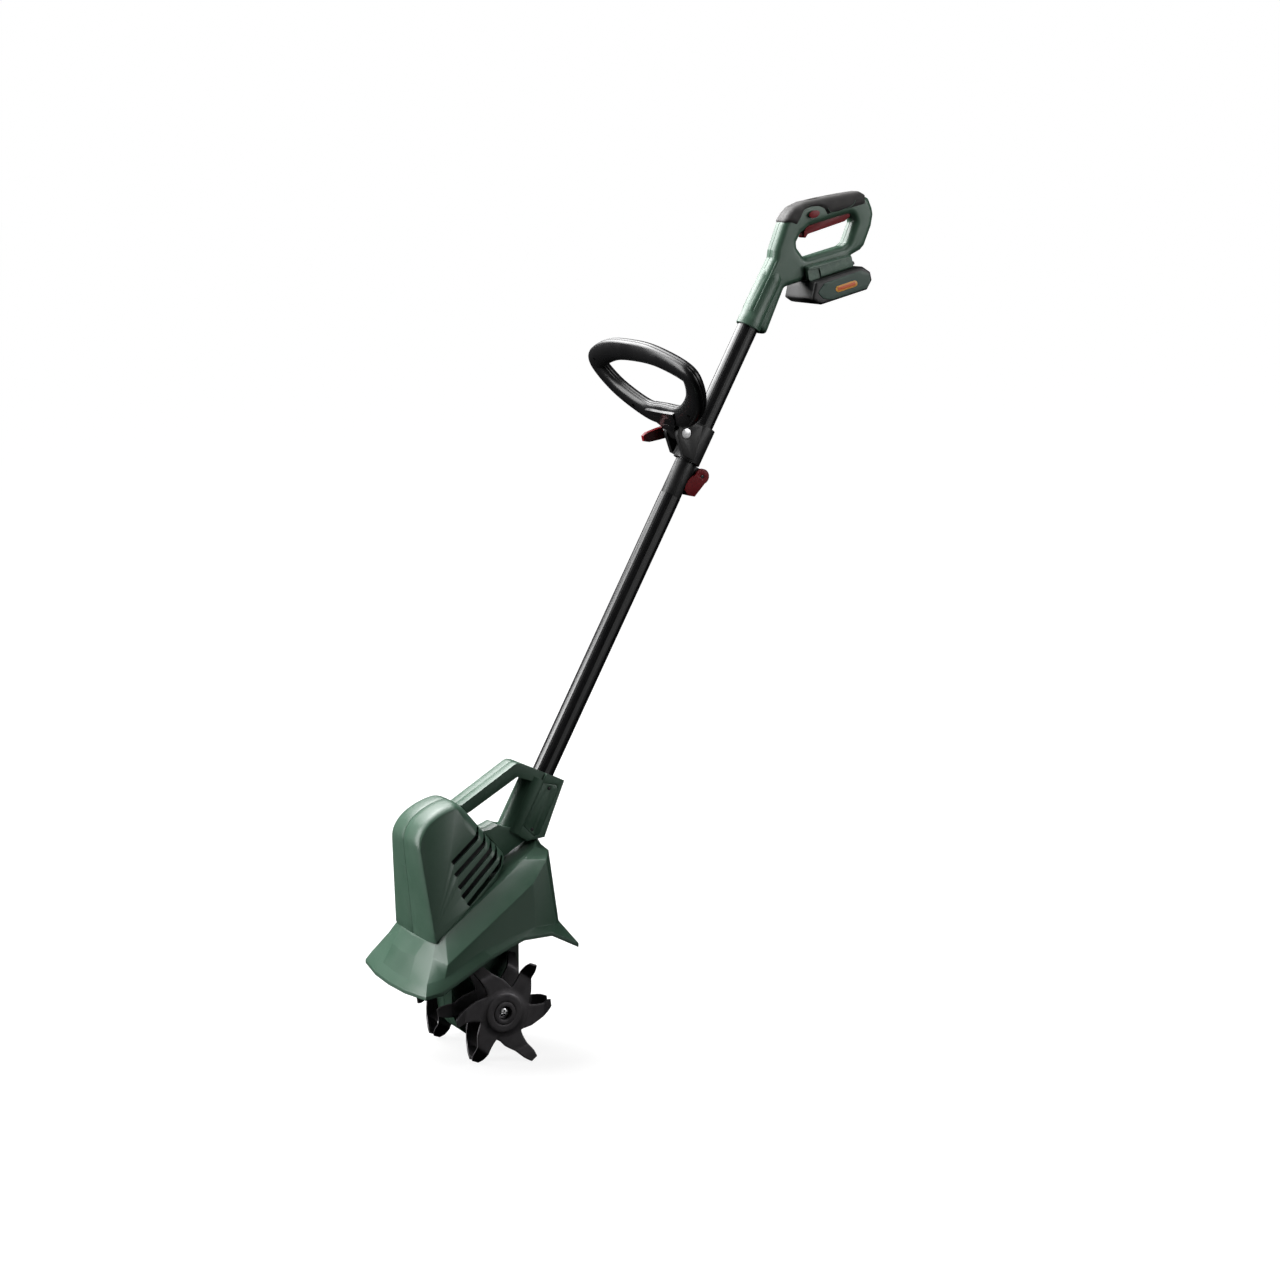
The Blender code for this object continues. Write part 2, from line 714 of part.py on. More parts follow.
def carry_frame_half(name, side):
    """Half of the carry bar and pole socket, which stand on the hood behind the motor housing."""
    half = add_object(name, prism(CARRY_FRAME, side * GAP / 2, side * BAR_HALF_WIDTH), "green_plastic")
    boolean(half, prism(SOCKET, side * GAP / 2, side * SOCKET_HALF_WIDTH), "UNION")
    front = rod(SOCKET_HALF_WIDTH - 0.0001, on_pole(-0.0890, SOCKET_FRONT), on_pole(-0.0060, SOCKET_FRONT), 32)
    boolean(half, front, "UNION")
    boolean(half, block((-side * 0.0500, 0.05, 0.33), (0.1000 + GAP, 0.30, 0.30)))
    bore = rod(TUBE_RADIUS + GAP, on_pole(SOCKET_BOTTOM - GAP), on_pole(0.06), 28)
    boolean(half, bore)
    return half


def build_carry_frame():
    left = carry_frame_half("carry_frame_left", 1)
    carry_frame_half("carry_frame_right", -1)
    pocket = SOCKET_HALF_WIDTH - COVER_DEPTH
    boolean(left, prism(SOCKET_COVER, pocket, SOCKET_HALF_WIDTH + 0.01))
    middle = [sum(axis) / len(SOCKET_COVER) for axis in zip(*SOCKET_COVER)]
    shrink = 0.985
    plate = [(middle[0] + (y - middle[0]) * shrink, middle[1] + (z - middle[1]) * shrink) for y, z in SOCKET_COVER]
    cover = add_object("socket_cover", prism(plate, pocket + GAP, SOCKET_HALF_WIDTH), "green_plastic")
    for name, y, z in (("cover_screw_upper", 0.1010, 0.3610), ("cover_screw_lower", 0.0745, 0.3060)):
        boolean(cover, rod(0.0026, (0.0, y, z), (0.03, y, z), 16))
        screw = rod(0.0023, (pocket + GAP, y, z), (SOCKET_HALF_WIDTH + 0.0004, y, z), 16)
        add_object(name, screw, "bright_steel")


# Pole -----------------------------------------------------------------------------------------

LOWER_TUBE_END = 0.4300
COLLAR_END = 0.4830
BRACKET_START = COLLAR_END + GAP
BRACKET_END = 0.5370
UPPER_TUBE_END = 0.7600
LEVER_UP, LEVER_BACK = 0.4730, 0.0265  # the cam lever's pin, along the pole and behind its axis
LEVER_PIVOT = on_pole(LEVER_UP, LEVER_BACK)
LUG_HALF_WIDTH = 0.0080


def build_pole():
    wall = TUBE_RADIUS - TUBE_WALL
    lower = sleeve(TUBE_RADIUS, wall, on_pole(SOCKET_BOTTOM), on_pole(LOWER_TUBE_END), 32)
    add_object("lower_tube", lower, "painted_tube")
    start, end = on_pole(BRACKET_START), on_pole(UPPER_TUBE_END)
    add_object("upper_tube", sleeve(0.0147, INNER_TUBE_RADIUS + GAP, start, end, 32), "painted_tube")
    start, end = on_pole(0.300), on_pole(0.600)
    add_object("inner_tube", sleeve(INNER_TUBE_RADIUS, 0.0112, start, end, 32), "bright_steel")
    build_collar()


def beside_pole(points):
    """(y, z) points from (along the pole, behind its axis) ones."""
    return [on_pole(*point).yz.to_tuple() for point in points]


def round_lever_pin(radius, start, sweep, steps=10):
    """Points of an arc about the cam lever's pin, its angles counted from straight behind the pole."""
    points = []
    for i in range(steps + 1):
        angle = math.radians(start + sweep * i / steps)
        points.append((LEVER_UP + radius * math.sin(angle), LEVER_BACK + radius * math.cos(angle)))
    return points


def across_pin(pivot, radius, half_width, segments=16):
    """A rod along X through a pivot."""
    return rod(radius, pivot - X_AXIS * half_width, pivot + X_AXIS * half_width, segments)


def build_collar():
    """The split collar on the lower tube, which the red cam lever squeezes onto the inner tube."""
    start, end = on_pole(LOWER_TUBE_END + GAP), on_pole(COLLAR_END)
    collar = add_object("lock_collar", rod(0.0147, start, end, 32), "black_plastic")
    lug = [(0.4650, 0.0100), *round_lever_pin(0.0088, -90, 180), (0.4820, 0.0100)]
    boolean(collar, prism(beside_pole(lug), -LUG_HALF_WIDTH, LUG_HALF_WIDTH), "UNION")
    boolean(collar, rod(INNER_TUBE_RADIUS + GAP, on_pole(0.40), on_pole(0.50), 32))
    boolean(collar, across_pin(LEVER_PIVOT, 0.0028, 0.02))
    boolean(collar, block(on_pole(0.4600, 0.0240), (0.0016, 0.0260, 0.0700), POLE_DIR))


def build_lock_lever():
    """A U-shaped cam lever: two cheeks beside the collar's lug and a thumb plate behind them."""
    points = round_lever_pin(0.0110, -40, 230, 12)
    points += [(0.4620, 0.0095), (0.4520, 0.0080), (0.4445, 0.0100), (0.4400, 0.0190), (0.4430, 0.0290)]
    lever = add_object("lock_lever", prism(beside_pole(points), -0.0135, 0.0135), "red_plastic", LEVER_PIVOT)
    boolean(lever, across_pin(LEVER_PIVOT, 0.0028, 0.02))
    boolean(lever, across_pin(LEVER_PIVOT, 0.0165, LUG_HALF_WIDTH + 0.0010, 28))
    boolean(lever, rod(0.0152, on_pole(0.36), on_pole(0.52), 32))
    add_object("lock_lever_pin", across_pin(LEVER_PIVOT, 0.0024, 0.0134), "bright_steel", LEVER_PIVOT)


# Loop handle ----------------------------------------------------------------------------------

LOOP_PIVOT = Vector((0.0, 0.3180, 0.8430))
LOOP_TILT = math.radians(58)
LOOP_UP = Vector((0.0, -math.cos(LOOP_TILT), math.sin(LOOP_TILT)))
LOOP_BACK = Vector((0.0, math.sin(LOOP_TILT), math.cos(LOOP_TILT)))
LOOP_BASE = Vector((0.0, 0.3021, 0.8663))  # middle of the loop's cross bar
LOOP_HALF = [
    (0.0, 0.0040),
    (0.0515, 0.0055),
    (0.1085, 0.0355),
    (0.1345, 0.0700),
    (0.1250, 0.0880),
    (0.0630, 0.1065),
    (0.0, 0.1105),
]
LOOP_HALF_WIDE = 0.0165
LOOP_HALF_THICK = 0.0112
NECK_HALF_WIDTH = 0.0115
EAR_INSIDE = 0.0125
EAR_OUTSIDE = 0.0200


def loop_path(steps=5):
    """The loop handle's centre line: a smooth closed curve through a few points and their mirror."""
    half = LOOP_HALF
    nodes = half + [(-x, s) for x, s in reversed(half[1:-1])]
    points = []
    count = len(nodes)
    for i in range(count):
        before, here, there, after = (Vector(nodes[(i + k) % count]) for k in (-1, 0, 1, 2))
        for step in range(steps):
            t = step / steps
            p = here * 2 + (there - before) * t
            p += (before * 2 - here * 5 + there * 4 - after) * t * t
            p += (here * 3 - before - there * 3 + after) * t * t * t
            p *= 0.5
            points.append(LOOP_BASE + X_AXIS * p.x + LOOP_UP * p.y)
    return points


def loop_half_section(side):
    """Half of the handle's oval section, on one side of the loop's own plane."""
    section = []
    steps = 6
    for i in range(steps + 1):
        angle = math.pi * i / steps
        height = GAP / 2 + (LOOP_HALF_THICK - GAP / 2) * math.sin(angle)
        section.append((LOOP_HALF_WIDE * math.cos(angle), side * height))
    return section


def loop_yz(up, back):
    p = LOOP_BASE + LOOP_UP * up + LOOP_BACK * back
    return (p.y, p.z)


def build_loop_handle():
    path = loop_path()
    upper = swept_loop(path, loop_half_section(1), LOOP_BACK)
    add_object("loop_handle_upper", upper, "black_plastic", LOOP_PIVOT)
    lower = swept_loop(path, loop_half_section(-1), LOOP_BACK)
    lower = add_object("loop_handle_lower", lower, "black_plastic", LOOP_PIVOT)
    neck = [loop_yz(0.010, -0.006), loop_yz(-0.0005, -0.0005), loop_yz(-0.0132, -0.0005), loop_yz(-0.0150, 0.0085)]
    neck += disc_outline((LOOP_PIVOT.y, LOOP_PIVOT.z), 0.0115, 10, math.radians(35), -math.radians(180))
    neck += [loop_yz(-0.0150, -0.0112), loop_yz(-0.0060, -0.0128), loop_yz(0.006, -0.0124)]
    boolean(lower, prism(neck, -NECK_HALF_WIDTH, NECK_HALF_WIDTH), "UNION")
    boolean(lower, across_pin(LOOP_PIVOT, 0.0045, 0.02, 20))


def bracket_outline():
    """The clamp's ear from the side: a round end about the hinge bolt, running back into the ring."""
    ear = disc_outline((LOOP_PIVOT.y, LOOP_PIVOT.z), 0.0145, 9, math.radians(205), -math.radians(140))
    return [*beside_pole([(0.4860, 0.0), (0.4860, -0.0190)]), *ear, *beside_pole([(0.5350, -0.0100)])]


def bracket_half(name, side):
    """Half of the clamp that holds the loop handle on the upper tube, with one hinge ear."""
    start, end = on_pole(BRACKET_START), on_pole(BRACKET_END)
    half = add_object(name, rod(0.0195, start, end, 32), "black_plastic")
    boolean(half, prism(bracket_outline(), -EAR_OUTSIDE, EAR_OUTSIDE), "UNION")
    boolean(half, beside(side, (0.25, 0.45), (0.75, 0.95)))
    room = beside_pole([(0.44, -0.0185), (0.60, -0.0185), (0.60, -0.08), (0.44, -0.08)])
    boolean(half, prism(room, -EAR_INSIDE, EAR_INSIDE))
    boolean(half, across_pin(LOOP_PIVOT, 0.0125, EAR_INSIDE, 28))
    boolean(half, rod(0.0147 + GAP, on_pole(0.45), on_pole(0.56), 32))
    boolean(half, across_pin(LOOP_PIVOT, 0.0043, 0.03, 20))
    boolean(half, rod(0.0080, LOOP_PIVOT + X_AXIS * 0.0165, LOOP_PIVOT + X_AXIS * 0.03, 24))
    return half


LOOP_LEVER_PIVOT = LOOP_PIVOT - X_AXIS * 0.0295
LOOP_LEVER_RUN = Vector((0.0, -0.975, -0.222)).normalized()
LOOP_LEVER_UP = X_AXIS.cross(LOOP_LEVER_RUN).normalized()


def build_bracket():
    bracket_half("bracket_left", 1)
    bracket_half("bracket_right", -1)
    shank = 0.0040
    ends = (-0.0370, 0.0172)
    bolt_profile = [(0, ends[0]), (shank, ends[0]), (shank, ends[1]), (0.0070, ends[1]), (0.0070, 0.0200), (0, 0.0206)]
    bolt = turned(bolt_profile, LOOP_PIVOT, X_AXIS, 20)
    bolt = add_object("hinge_bolt", bolt, "bright_steel", LOOP_PIVOT)
    cross = LOOP_LEVER_UP * 0.012
    boolean(bolt, rod(0.0020, LOOP_LEVER_PIVOT - cross, LOOP_LEVER_PIVOT + cross, 12))
    pin = rod(0.0017, LOOP_LEVER_PIVOT - LOOP_LEVER_UP * 0.0088, LOOP_LEVER_PIVOT + LOOP_LEVER_UP * 0.0088, 12)
    add_object("loop_lever_pin", pin, "bright_steel", LOOP_LEVER_PIVOT)
    build_loop_lever()


def build_loop_lever():
    """The red quick-release cam lever on the far end of the hinge bolt."""
    bm = rod(0.0088, LOOP_LEVER_PIVOT - LOOP_LEVER_UP * 0.0088, LOOP_LEVER_PIVOT + LOOP_LEVER_UP * 0.0088, 24)
    lever = add_object("loop_lever", bm, "red_plastic", LOOP_LEVER_PIVOT)
    stations = [(0.002, 0.0080, 0.0065), (0.020, 0.0078, 0.0050), (0.036, 0.0068, 0.0042), (0.043, 0.0040, 0.0032)]
    arm = bmesh.new()
    rings = []
    for run, up, thick in stations:
        middle = LOOP_LEVER_PIVOT + LOOP_LEVER_RUN * run - X_AXIS * 0.0015
        corners = ((1, 1), (1, -1), (-1, -1), (-1, 1))
        rings.append([arm.verts.new(middle + LOOP_LEVER_UP * up * a + X_AXIS * thick * b) for a, b in corners])
    for first, second in zip(rings, rings[1:]):
        for i in range(4):
            j = (i + 1) % 4
            arm.faces.new((first[i], first[j], second[j], second[i]))
    arm.faces.new(rings[0])
    arm.faces.new(rings[-1])
    bmesh.ops.recalc_face_normals(arm, faces=arm.faces)
    boolean(lever, arm, "UNION")
    cross = LOOP_LEVER_UP * 0.012
    boolean(lever, rod(0.0020, LOOP_LEVER_PIVOT - cross, LOOP_LEVER_PIVOT + cross, 12))
    swing = LOOP_LEVER_UP * 0.0050
    boolean(lever, rod(0.0120, LOOP_LEVER_PIVOT - swing, LOOP_LEVER_PIVOT + swing, 24))


# D handle -------------------------------------------------------------------------------------

GRIP_TOP = [
    (0.4755, 1.1310),
    (0.4845, 1.1435),
    (0.4930, 1.1520),
    (0.5100, 1.1590),
    (0.5430, 1.1650),
    (0.5760, 1.1700),
    (0.6010, 1.1730),
    (0.6110, 1.1680),
]
GRIP_HALF_WIDTH = 0.0150
GRIP_COVER_HALF = 0.0175
COVER_THICK = 0.0022
BOSS_FRONT = [(0.4501, 0.9737), (0.4167, 0.9916), (0.4242, 1.0153), (0.4615, 1.0817), (0.4628, 1.0925)]
BACK_LEG = [(0.6175, 1.1630), (0.6240, 1.1490), (0.6258, 1.1400), (0.6230, 1.1240), (0.6115, 1.0965), (0.6050, 1.0900)]
FOOT = [(0.5900, 1.0830), (0.5820, 1.0680), (0.5060, 1.0470), (0.4800, 1.0405), (0.4720, 1.0230)]
HAND_HOLE = [
    (0.5890, 1.1420),
    (0.5940, 1.1300),
    (0.5820, 1.1010),
    (0.5750, 1.0960),
    (0.5520, 1.0905),
    (0.5120, 1.0805),
    (0.5000, 1.0950),
    (0.4990, 1.1030),
    (0.5060, 1.1150),
    (0.5190, 1.1250),
    (0.5640, 1.1365),
]
FOOT_HALF_WIDTH = 0.0260
RAIL_HALF_WIDTH = 0.0190
TRIGGER_PIVOT = Vector((0.0, 0.5860, 1.1470))
LOCK_BUTTON = Vector((0.0, 0.5230, 1.1420))

BATTERY_ALONG = Vector((0.0, math.cos(BATTERY_TILT), math.sin(BATTERY_TILT)))
BATTERY_UP = Vector((0.0, -math.sin(BATTERY_TILT), math.cos(BATTERY_TILT)))
BATTERY_CENTRE = Vector((0.0, 0.5600, 1.0425))
BATTERY_LENGTH = 0.0970
BATTERY_HALF_WIDTH = 0.0390
BATTERY_HEIGHT = 0.0340


def battery_yz(along, up):
    p = BATTERY_CENTRE + BATTERY_ALONG * along + BATTERY_UP * up
    return (p.y, p.z)


def battery_block(back, front, low, high):
    """A rectangle along the battery, its heights counted from the battery's top."""
    top = BATTERY_HEIGHT / 2
    corners = ((back, top + low), (front, top + low), (front, top + high), (back, top + high))
    return [battery_yz(*corner) for corner in corners]


def lowered(outline, amount):
    return [(y + amount * 0.3, z - amount) for y, z in outline]


def handle_half(name, side):
    """Half of the D handle's clamshell, with its bore, its switch room and its battery rail."""
    grip = lowered(GRIP_TOP, COVER_THICK + GAP)
    outline = [*BOSS_FRONT, *grip, *BACK_LEG, *FOOT]
    past = -side * SPLIT
    half = add_object(name, prism(outline, past, side * GRIP_HALF_WIDTH), "green_plastic")
    top = BATTERY_HEIGHT / 2
    foot = [battery_yz(0.031, top + 0.018), battery_yz(0.031, top + GAP), battery_yz(-0.044, top + GAP)]
    foot += [battery_yz(-0.044, top + 0.022)]
    boolean(half, prism(foot, past, side * FOOT_HALF_WIDTH), "UNION")
    boss = [(0, 0), (0.0182, 0), (0.0182, 0.0780), (0.0145, 0.1050), (0, 0.1050)]
    boolean(half, turned(boss, on_pole(0.6915), POLE_DIR, 32), "UNION")
    boolean(half, beside(side, (0.35, 0.66), (0.90, 1.20)))
    boolean(half, prism(HAND_HOLE, -side * 0.03, side * 0.03))
    boolean(half, rod(0.0150, on_pole(0.66), on_pole(UPPER_TUBE_END + GAP), 32))
    room = [(0.5075, 1.1160), (0.5960, 1.1420), (0.5960, 1.1600), (0.5400, 1.1590), (0.5075, 1.1490)]
    boolean(half, prism(room, -side * 0.02, side * 0.0105))
    boolean(half, rod(0.0034, LOCK_BUTTON, LOCK_BUTTON + X_AXIS * side * 0.03, 16))
    channel = battery_block(-0.036, 0.05, -0.010, 0.0045)
    boolean(half, prism(channel, -side * 0.03, side * (RAIL_HALF_WIDTH - 0.0030)))
    channel = battery_block(-0.036, 0.05, 0.0035, 0.0090)
    boolean(half, prism(channel, -side * 0.03, side * RAIL_HALF_WIDTH))
    return half


def build_handle():
    handle_half("handle_left", 1)
    handle_half("handle_right", -1)
    build_grip_cover()
    build_trigger()
    build_lock_button()
    add_object("switch_module", block((0.0, 0.5560, 1.1548), (0.0204, 0.0260, 0.0076)), "black_plastic")
    terminals = battery_block(-0.0356, -0.0240, 0.0010, 0.0085)
    add_object("battery_terminals", prism(terminals, -0.0150, 0.0150), "black_plastic")


def build_grip_cover():
    """The soft cover that wraps over the top and both sides of the grip."""
    skirt = [(0.6125, 1.1530), (0.5790, 1.1450), (0.5630, 1.1420), (0.5450, 1.1380), (0.5400, 1.1470)]
    skirt += [(0.5320, 1.1500), (0.5200, 1.1500), (0.5110, 1.1460), (0.5050, 1.1350), (0.4985, 1.1245)]
    cover = add_object("grip_cover", prism([*GRIP_TOP, *skirt], -GRIP_COVER_HALF, GRIP_COVER_HALF), "soft_grip")
    core = lowered(GRIP_TOP, COVER_THICK)
    start, end = core[0], core[-1]
    core = [(start[0] - 0.03, start[1] - 0.03), *core, (end[0] + 0.02, end[1] - 0.02), (0.62, 1.10), (0.46, 1.08)]
    inside = GRIP_HALF_WIDTH + GAP
    boolean(cover, prism(core, -inside, inside))


def build_trigger():
    """The long red trigger under the grip, its pivot pin and its return spring."""
    outline = [(0.5885, 1.1385), (0.5800, 1.1310), (0.5390, 1.1195), (0.5190, 1.1140), (0.5150, 1.1085)]
    outline += [(0.5125, 1.1105), (0.5128, 1.1180), (0.5200, 1.1265), (0.5350, 1.1345), (0.5680, 1.1440)]
    outline += disc_outline((TRIGGER_PIVOT.y, TRIGGER_PIVOT.z), 0.0055, 8, math.radians(150), -math.radians(190))
    trigger = add_object("trigger", prism(outline, -0.0085, 0.0085), "red_plastic", TRIGGER_PIVOT)
    boolean(trigger, rod(0.0019, TRIGGER_PIVOT - X_AXIS * 0.02, TRIGGER_PIVOT + X_AXIS * 0.02, 12))
    notch = rod(0.0062, TRIGGER_PIVOT - X_AXIS * 0.0045, TRIGGER_PIVOT + X_AXIS * 0.0045, 16)
    boolean(trigger, notch)
    pin = rod(0.0016, TRIGGER_PIVOT - X_AXIS * 0.0102, TRIGGER_PIVOT + X_AXIS * 0.0102, 12)
    add_object("trigger_pin", pin, "bright_steel", TRIGGER_PIVOT)
    add_object("trigger_spring", coil(TRIGGER_PIVOT, 0.0030, 0.0005, 4, 0.0070), "bright_steel", TRIGGER_PIVOT)


def build_lock_button():
    """The lock-off button: a pin across the grip with an oval cap at each end."""
    reach = GRIP_HALF_WIDTH + 0.0035
    button = rod(0.0031, LOCK_BUTTON - X_AXIS * reach, LOCK_BUTTON + X_AXIS * reach, 16)
    button = add_object("lock_button", button, "red_plastic", LOCK_BUTTON)
    tilt = math.radians(15)
    for side in (1, -1):
        oval = []
        for i in range(16):
            angle = 2 * math.pi * i / 16
            y, z = 0.0088 * math.cos(angle), 0.0050 * math.sin(angle)
            turned_y = y * math.cos(tilt) - z * math.sin(tilt)
            turned_z = y * math.sin(tilt) + z * math.cos(tilt)
            oval.append((LOCK_BUTTON.y + turned_y, LOCK_BUTTON.z + turned_z))
        cap = prism(oval, side * (GRIP_HALF_WIDTH + 0.0022), side * (GRIP_HALF_WIDTH + 0.0042))
        boolean(button, cap, "UNION")


# Battery --------------------------------------------------------------------------------------


def battery_outline(inset=0.0):
    """The battery from the side: a long block with a wedge-shaped front and its rear corners cut off."""
    half_length = BATTERY_LENGTH / 2 - inset
    half_height = BATTERY_HEIGHT / 2 - inset
    cut_back = 0.0110
    corners = [
        (-half_length - 0.0060, -0.0055),
        (-half_length + 0.0020, -half_height + 0.0030),
        (-half_length + 0.0085, -half_height),
        (half_length - cut_back, -half_height),
        (half_length, -half_height + cut_back),
        (half_length, half_height - cut_back),
        (half_length - cut_back, half_height),
        (-half_length + 0.0055, half_height),
        (-half_length + 0.0015, 0.0095),
    ]
    return [battery_yz(along, up) for along, up in corners]


def build_battery():
    case = prism(battery_outline(), -BATTERY_HALF_WIDTH, BATTERY_HALF_WIDTH)
    case = add_object("battery_case", case, "black_plastic")
    narrow = RAIL_HALF_WIDTH - 0.0035
    boolean(case, prism(battery_block(-0.0225, 0.0400, -0.0020, 0.0050), -narrow, narrow), "UNION")
    wide = RAIL_HALF_WIDTH - 0.0005
    boolean(case, prism(battery_block(-0.0220, 0.0395, 0.0040, 0.0070), -wide, wide), "UNION")
    inner = BATTERY_HALF_WIDTH - 0.0030
    boolean(case, prism(battery_block(-0.0440, 0.0380, -0.0300, -0.0060), -inner, inner))
    boolean(case, prism(battery_block(-0.0205, -0.0150, -0.0200, 0.0200), -0.0080, 0.0080))
    add_object("cell_pack", prism(battery_block(-0.0430, 0.0370, -0.0290, -0.0100), -0.0340, 0.0340), "bright_steel")
    boolean(case, prism(battery_block(0.0330, 0.0425, -0.0040, 0.0100), -0.0105, 0.0105))
    top = BATTERY_HEIGHT / 2
    button = [battery_yz(0.0334, top + 0.0004), battery_yz(0.0334, top + 0.0070), battery_yz(0.0400, top + 0.0062)]
    button += [battery_yz(0.0421, top + 0.0040), battery_yz(0.0421, top + 0.0004)]
    add_object("battery_button", prism(button, -0.0100, 0.0100), "black_plastic")


def main():
    clear_scene()
    for name in MATERIALS:
        make_material(name)
    build_tines()
    build_drive()
    build_hood()
    motor_housing_half("motor_housing_left", 1)
    motor_housing_half("motor_housing_right", -1)
    build_carry_frame()
    build_pole()
    build_lock_lever()
    build_loop_handle()
    build_bracket()
    build_handle()
    build_battery()


main()
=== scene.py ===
"""Looks of the battery mini cultivator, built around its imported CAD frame.

Pieces are given in metres relative to the tine axle's foot: the machine's front faces -Y, its left
side is +X. Names ending in _LINE or _OUTLINE are (y, z) points seen from the side.
"""

import json
import math

import bmesh
import bpy
import numpy as np
from mathutils import Matrix, Vector, geometry


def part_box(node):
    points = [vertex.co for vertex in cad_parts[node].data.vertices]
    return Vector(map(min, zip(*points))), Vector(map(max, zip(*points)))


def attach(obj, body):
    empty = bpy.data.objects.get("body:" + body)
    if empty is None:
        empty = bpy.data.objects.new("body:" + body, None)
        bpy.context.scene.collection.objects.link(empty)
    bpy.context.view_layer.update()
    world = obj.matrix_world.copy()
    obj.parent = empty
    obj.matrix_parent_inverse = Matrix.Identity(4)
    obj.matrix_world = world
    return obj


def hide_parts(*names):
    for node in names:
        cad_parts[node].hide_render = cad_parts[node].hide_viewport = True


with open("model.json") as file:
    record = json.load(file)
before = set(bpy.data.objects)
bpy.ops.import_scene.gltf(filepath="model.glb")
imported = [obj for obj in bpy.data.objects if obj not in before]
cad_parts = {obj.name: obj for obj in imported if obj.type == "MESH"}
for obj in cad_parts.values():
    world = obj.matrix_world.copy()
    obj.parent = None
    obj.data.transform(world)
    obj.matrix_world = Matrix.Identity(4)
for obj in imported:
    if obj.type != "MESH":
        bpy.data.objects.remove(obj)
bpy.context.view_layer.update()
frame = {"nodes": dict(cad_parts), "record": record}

GAP = 0.0003
X_AXIS = Vector((1.0, 0.0, 0.0))
Z_AXIS = Vector((0.0, 0.0, 1.0))


def middle(node):
    low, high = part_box(node)
    return (low + high) / 2


AXLE_Y = middle("tine_axle").y
AXLE_HEIGHT = middle("tine_axle").z
AXLE = Vector((0.0, 0.0, AXLE_HEIGHT))
SHIFT = Vector((0.0, AXLE_Y, 0.0))

POLE_LEAN = math.radians(28.2)
POLE_DIR = Vector((0.0, math.sin(POLE_LEAN), math.cos(POLE_LEAN)))
POLE_ACROSS = Vector((0.0, math.cos(POLE_LEAN), -math.sin(POLE_LEAN)))
POLE_FOOT = Vector((0.0, 0.1002, 0.3761))


def on_pole(distance, across=0.0):
    """The point this far up the pole's axis, and this far behind it."""
    return POLE_FOOT + POLE_DIR * distance + POLE_ACROSS * across


# Materials ------------------------------------------------------------------------------------


class Nodes:
    """Builds a node material around a Principled shader, one node at a time."""

    def __init__(self, name):
        self.material = bpy.data.materials.new(name)
        self.material.use_nodes = True
        self.tree = self.material.node_tree
        self.shader = self.tree.nodes["Principled BSDF"]
        self.coords = self.add("ShaderNodeTexCoord").outputs["Object"]

    def add(self, kind, **values):
        node = self.tree.nodes.new(kind)
        for key, value in values.items():
            setattr(node, key, value)
        return node

    def link(self, source, target):
        self.tree.links.new(source, target)

    def noise(self, scale, detail=3.0, roughness=0.55, stretch=None):
        node = self.add("ShaderNodeTexNoise")
        node.inputs["Scale"].default_value = scale
        node.inputs["Detail"].default_value = detail
        node.inputs["Roughness"].default_value = roughness
        if stretch:
            mapping = self.add("ShaderNodeMapping")
            mapping.inputs["Scale"].default_value = stretch
            self.link(self.coords, mapping.inputs["Vector"])
            self.link(mapping.outputs["Vector"], node.inputs["Vector"])
        else:
            self.link(self.coords, node.inputs["Vector"])
        return node.outputs["Fac"]

    def cells(self, scale):
        node = self.add("ShaderNodeTexVoronoi", feature="F1")
        node.inputs["Scale"].default_value = scale
        self.link(self.coords, node.inputs["Vector"])
        return node.outputs["Distance"]

    def ramp(self, source, *stops):
        node = self.add("ShaderNodeValToRGB")
        elements = node.color_ramp.elements
        while len(elements) < len(stops):
            elements.new(0.5)
        for element, (position, colour) in zip(elements, stops):
            element.position = position
            element.color = (*colour, 1.0) if isinstance(colour, tuple) else (colour, colour, colour, 1.0)
        self.link(source, node.inputs["Fac"])
        return node.outputs["Color"]

    def span(self, source, low, high, from_low=0.3, from_high=0.7):
        node = self.add("ShaderNodeMapRange")
        node.inputs["From Min"].default_value = from_low
        node.inputs["From Max"].default_value = from_high
        node.inputs["To Min"].default_value = low
        node.inputs["To Max"].default_value = high
        self.link(source, node.inputs["Value"])
        return node.outputs["Result"]

    def mix(self, fac, first, second, blend="MIX"):
        node = self.add("ShaderNodeMix", data_type="RGBA", blend_type=blend)
        for socket, value in ((0, fac), (6, first), (7, second)):
            if isinstance(value, (float, int)):
                node.inputs[socket].default_value = value
            elif isinstance(value, tuple):
                node.inputs[socket].default_value = (*value, 1.0)
            else:
                self.link(value, node.inputs[socket])
        return node.outputs[2]

    def worn_edges(self, low=0.52, high=0.60):
        node = self.add("ShaderNodeNewGeometry")
        return self.span(node.outputs["Pointiness"], 0.0, 1.0, low, high)

    def bump(self, height, distance, strength=1.0, normal=None):
        node = self.add("ShaderNodeBump")
        node.inputs["Distance"].default_value = distance
        node.inputs["Strength"].default_value = strength
        self.link(height, node.inputs["Height"])
        if normal:
            self.link(normal, node.inputs["Normal"])
        return node.outputs["Normal"]

    def finish(self, colour, roughness, normal, metallic=0.0, specular=0.5, coat=0.0, coat_rough=0.1):
        self.link(colour, self.shader.inputs["Base Color"])
        self.link(roughness, self.shader.inputs["Roughness"])
        self.link(normal, self.shader.inputs["Normal"])
        self.shader.inputs["Metallic"].default_value = metallic
        self.shader.inputs["Specular IOR Level"].default_value = specular
        self.shader.inputs["Coat Weight"].default_value = coat
        self.shader.inputs["Coat Roughness"].default_value = coat_rough
        return self.material


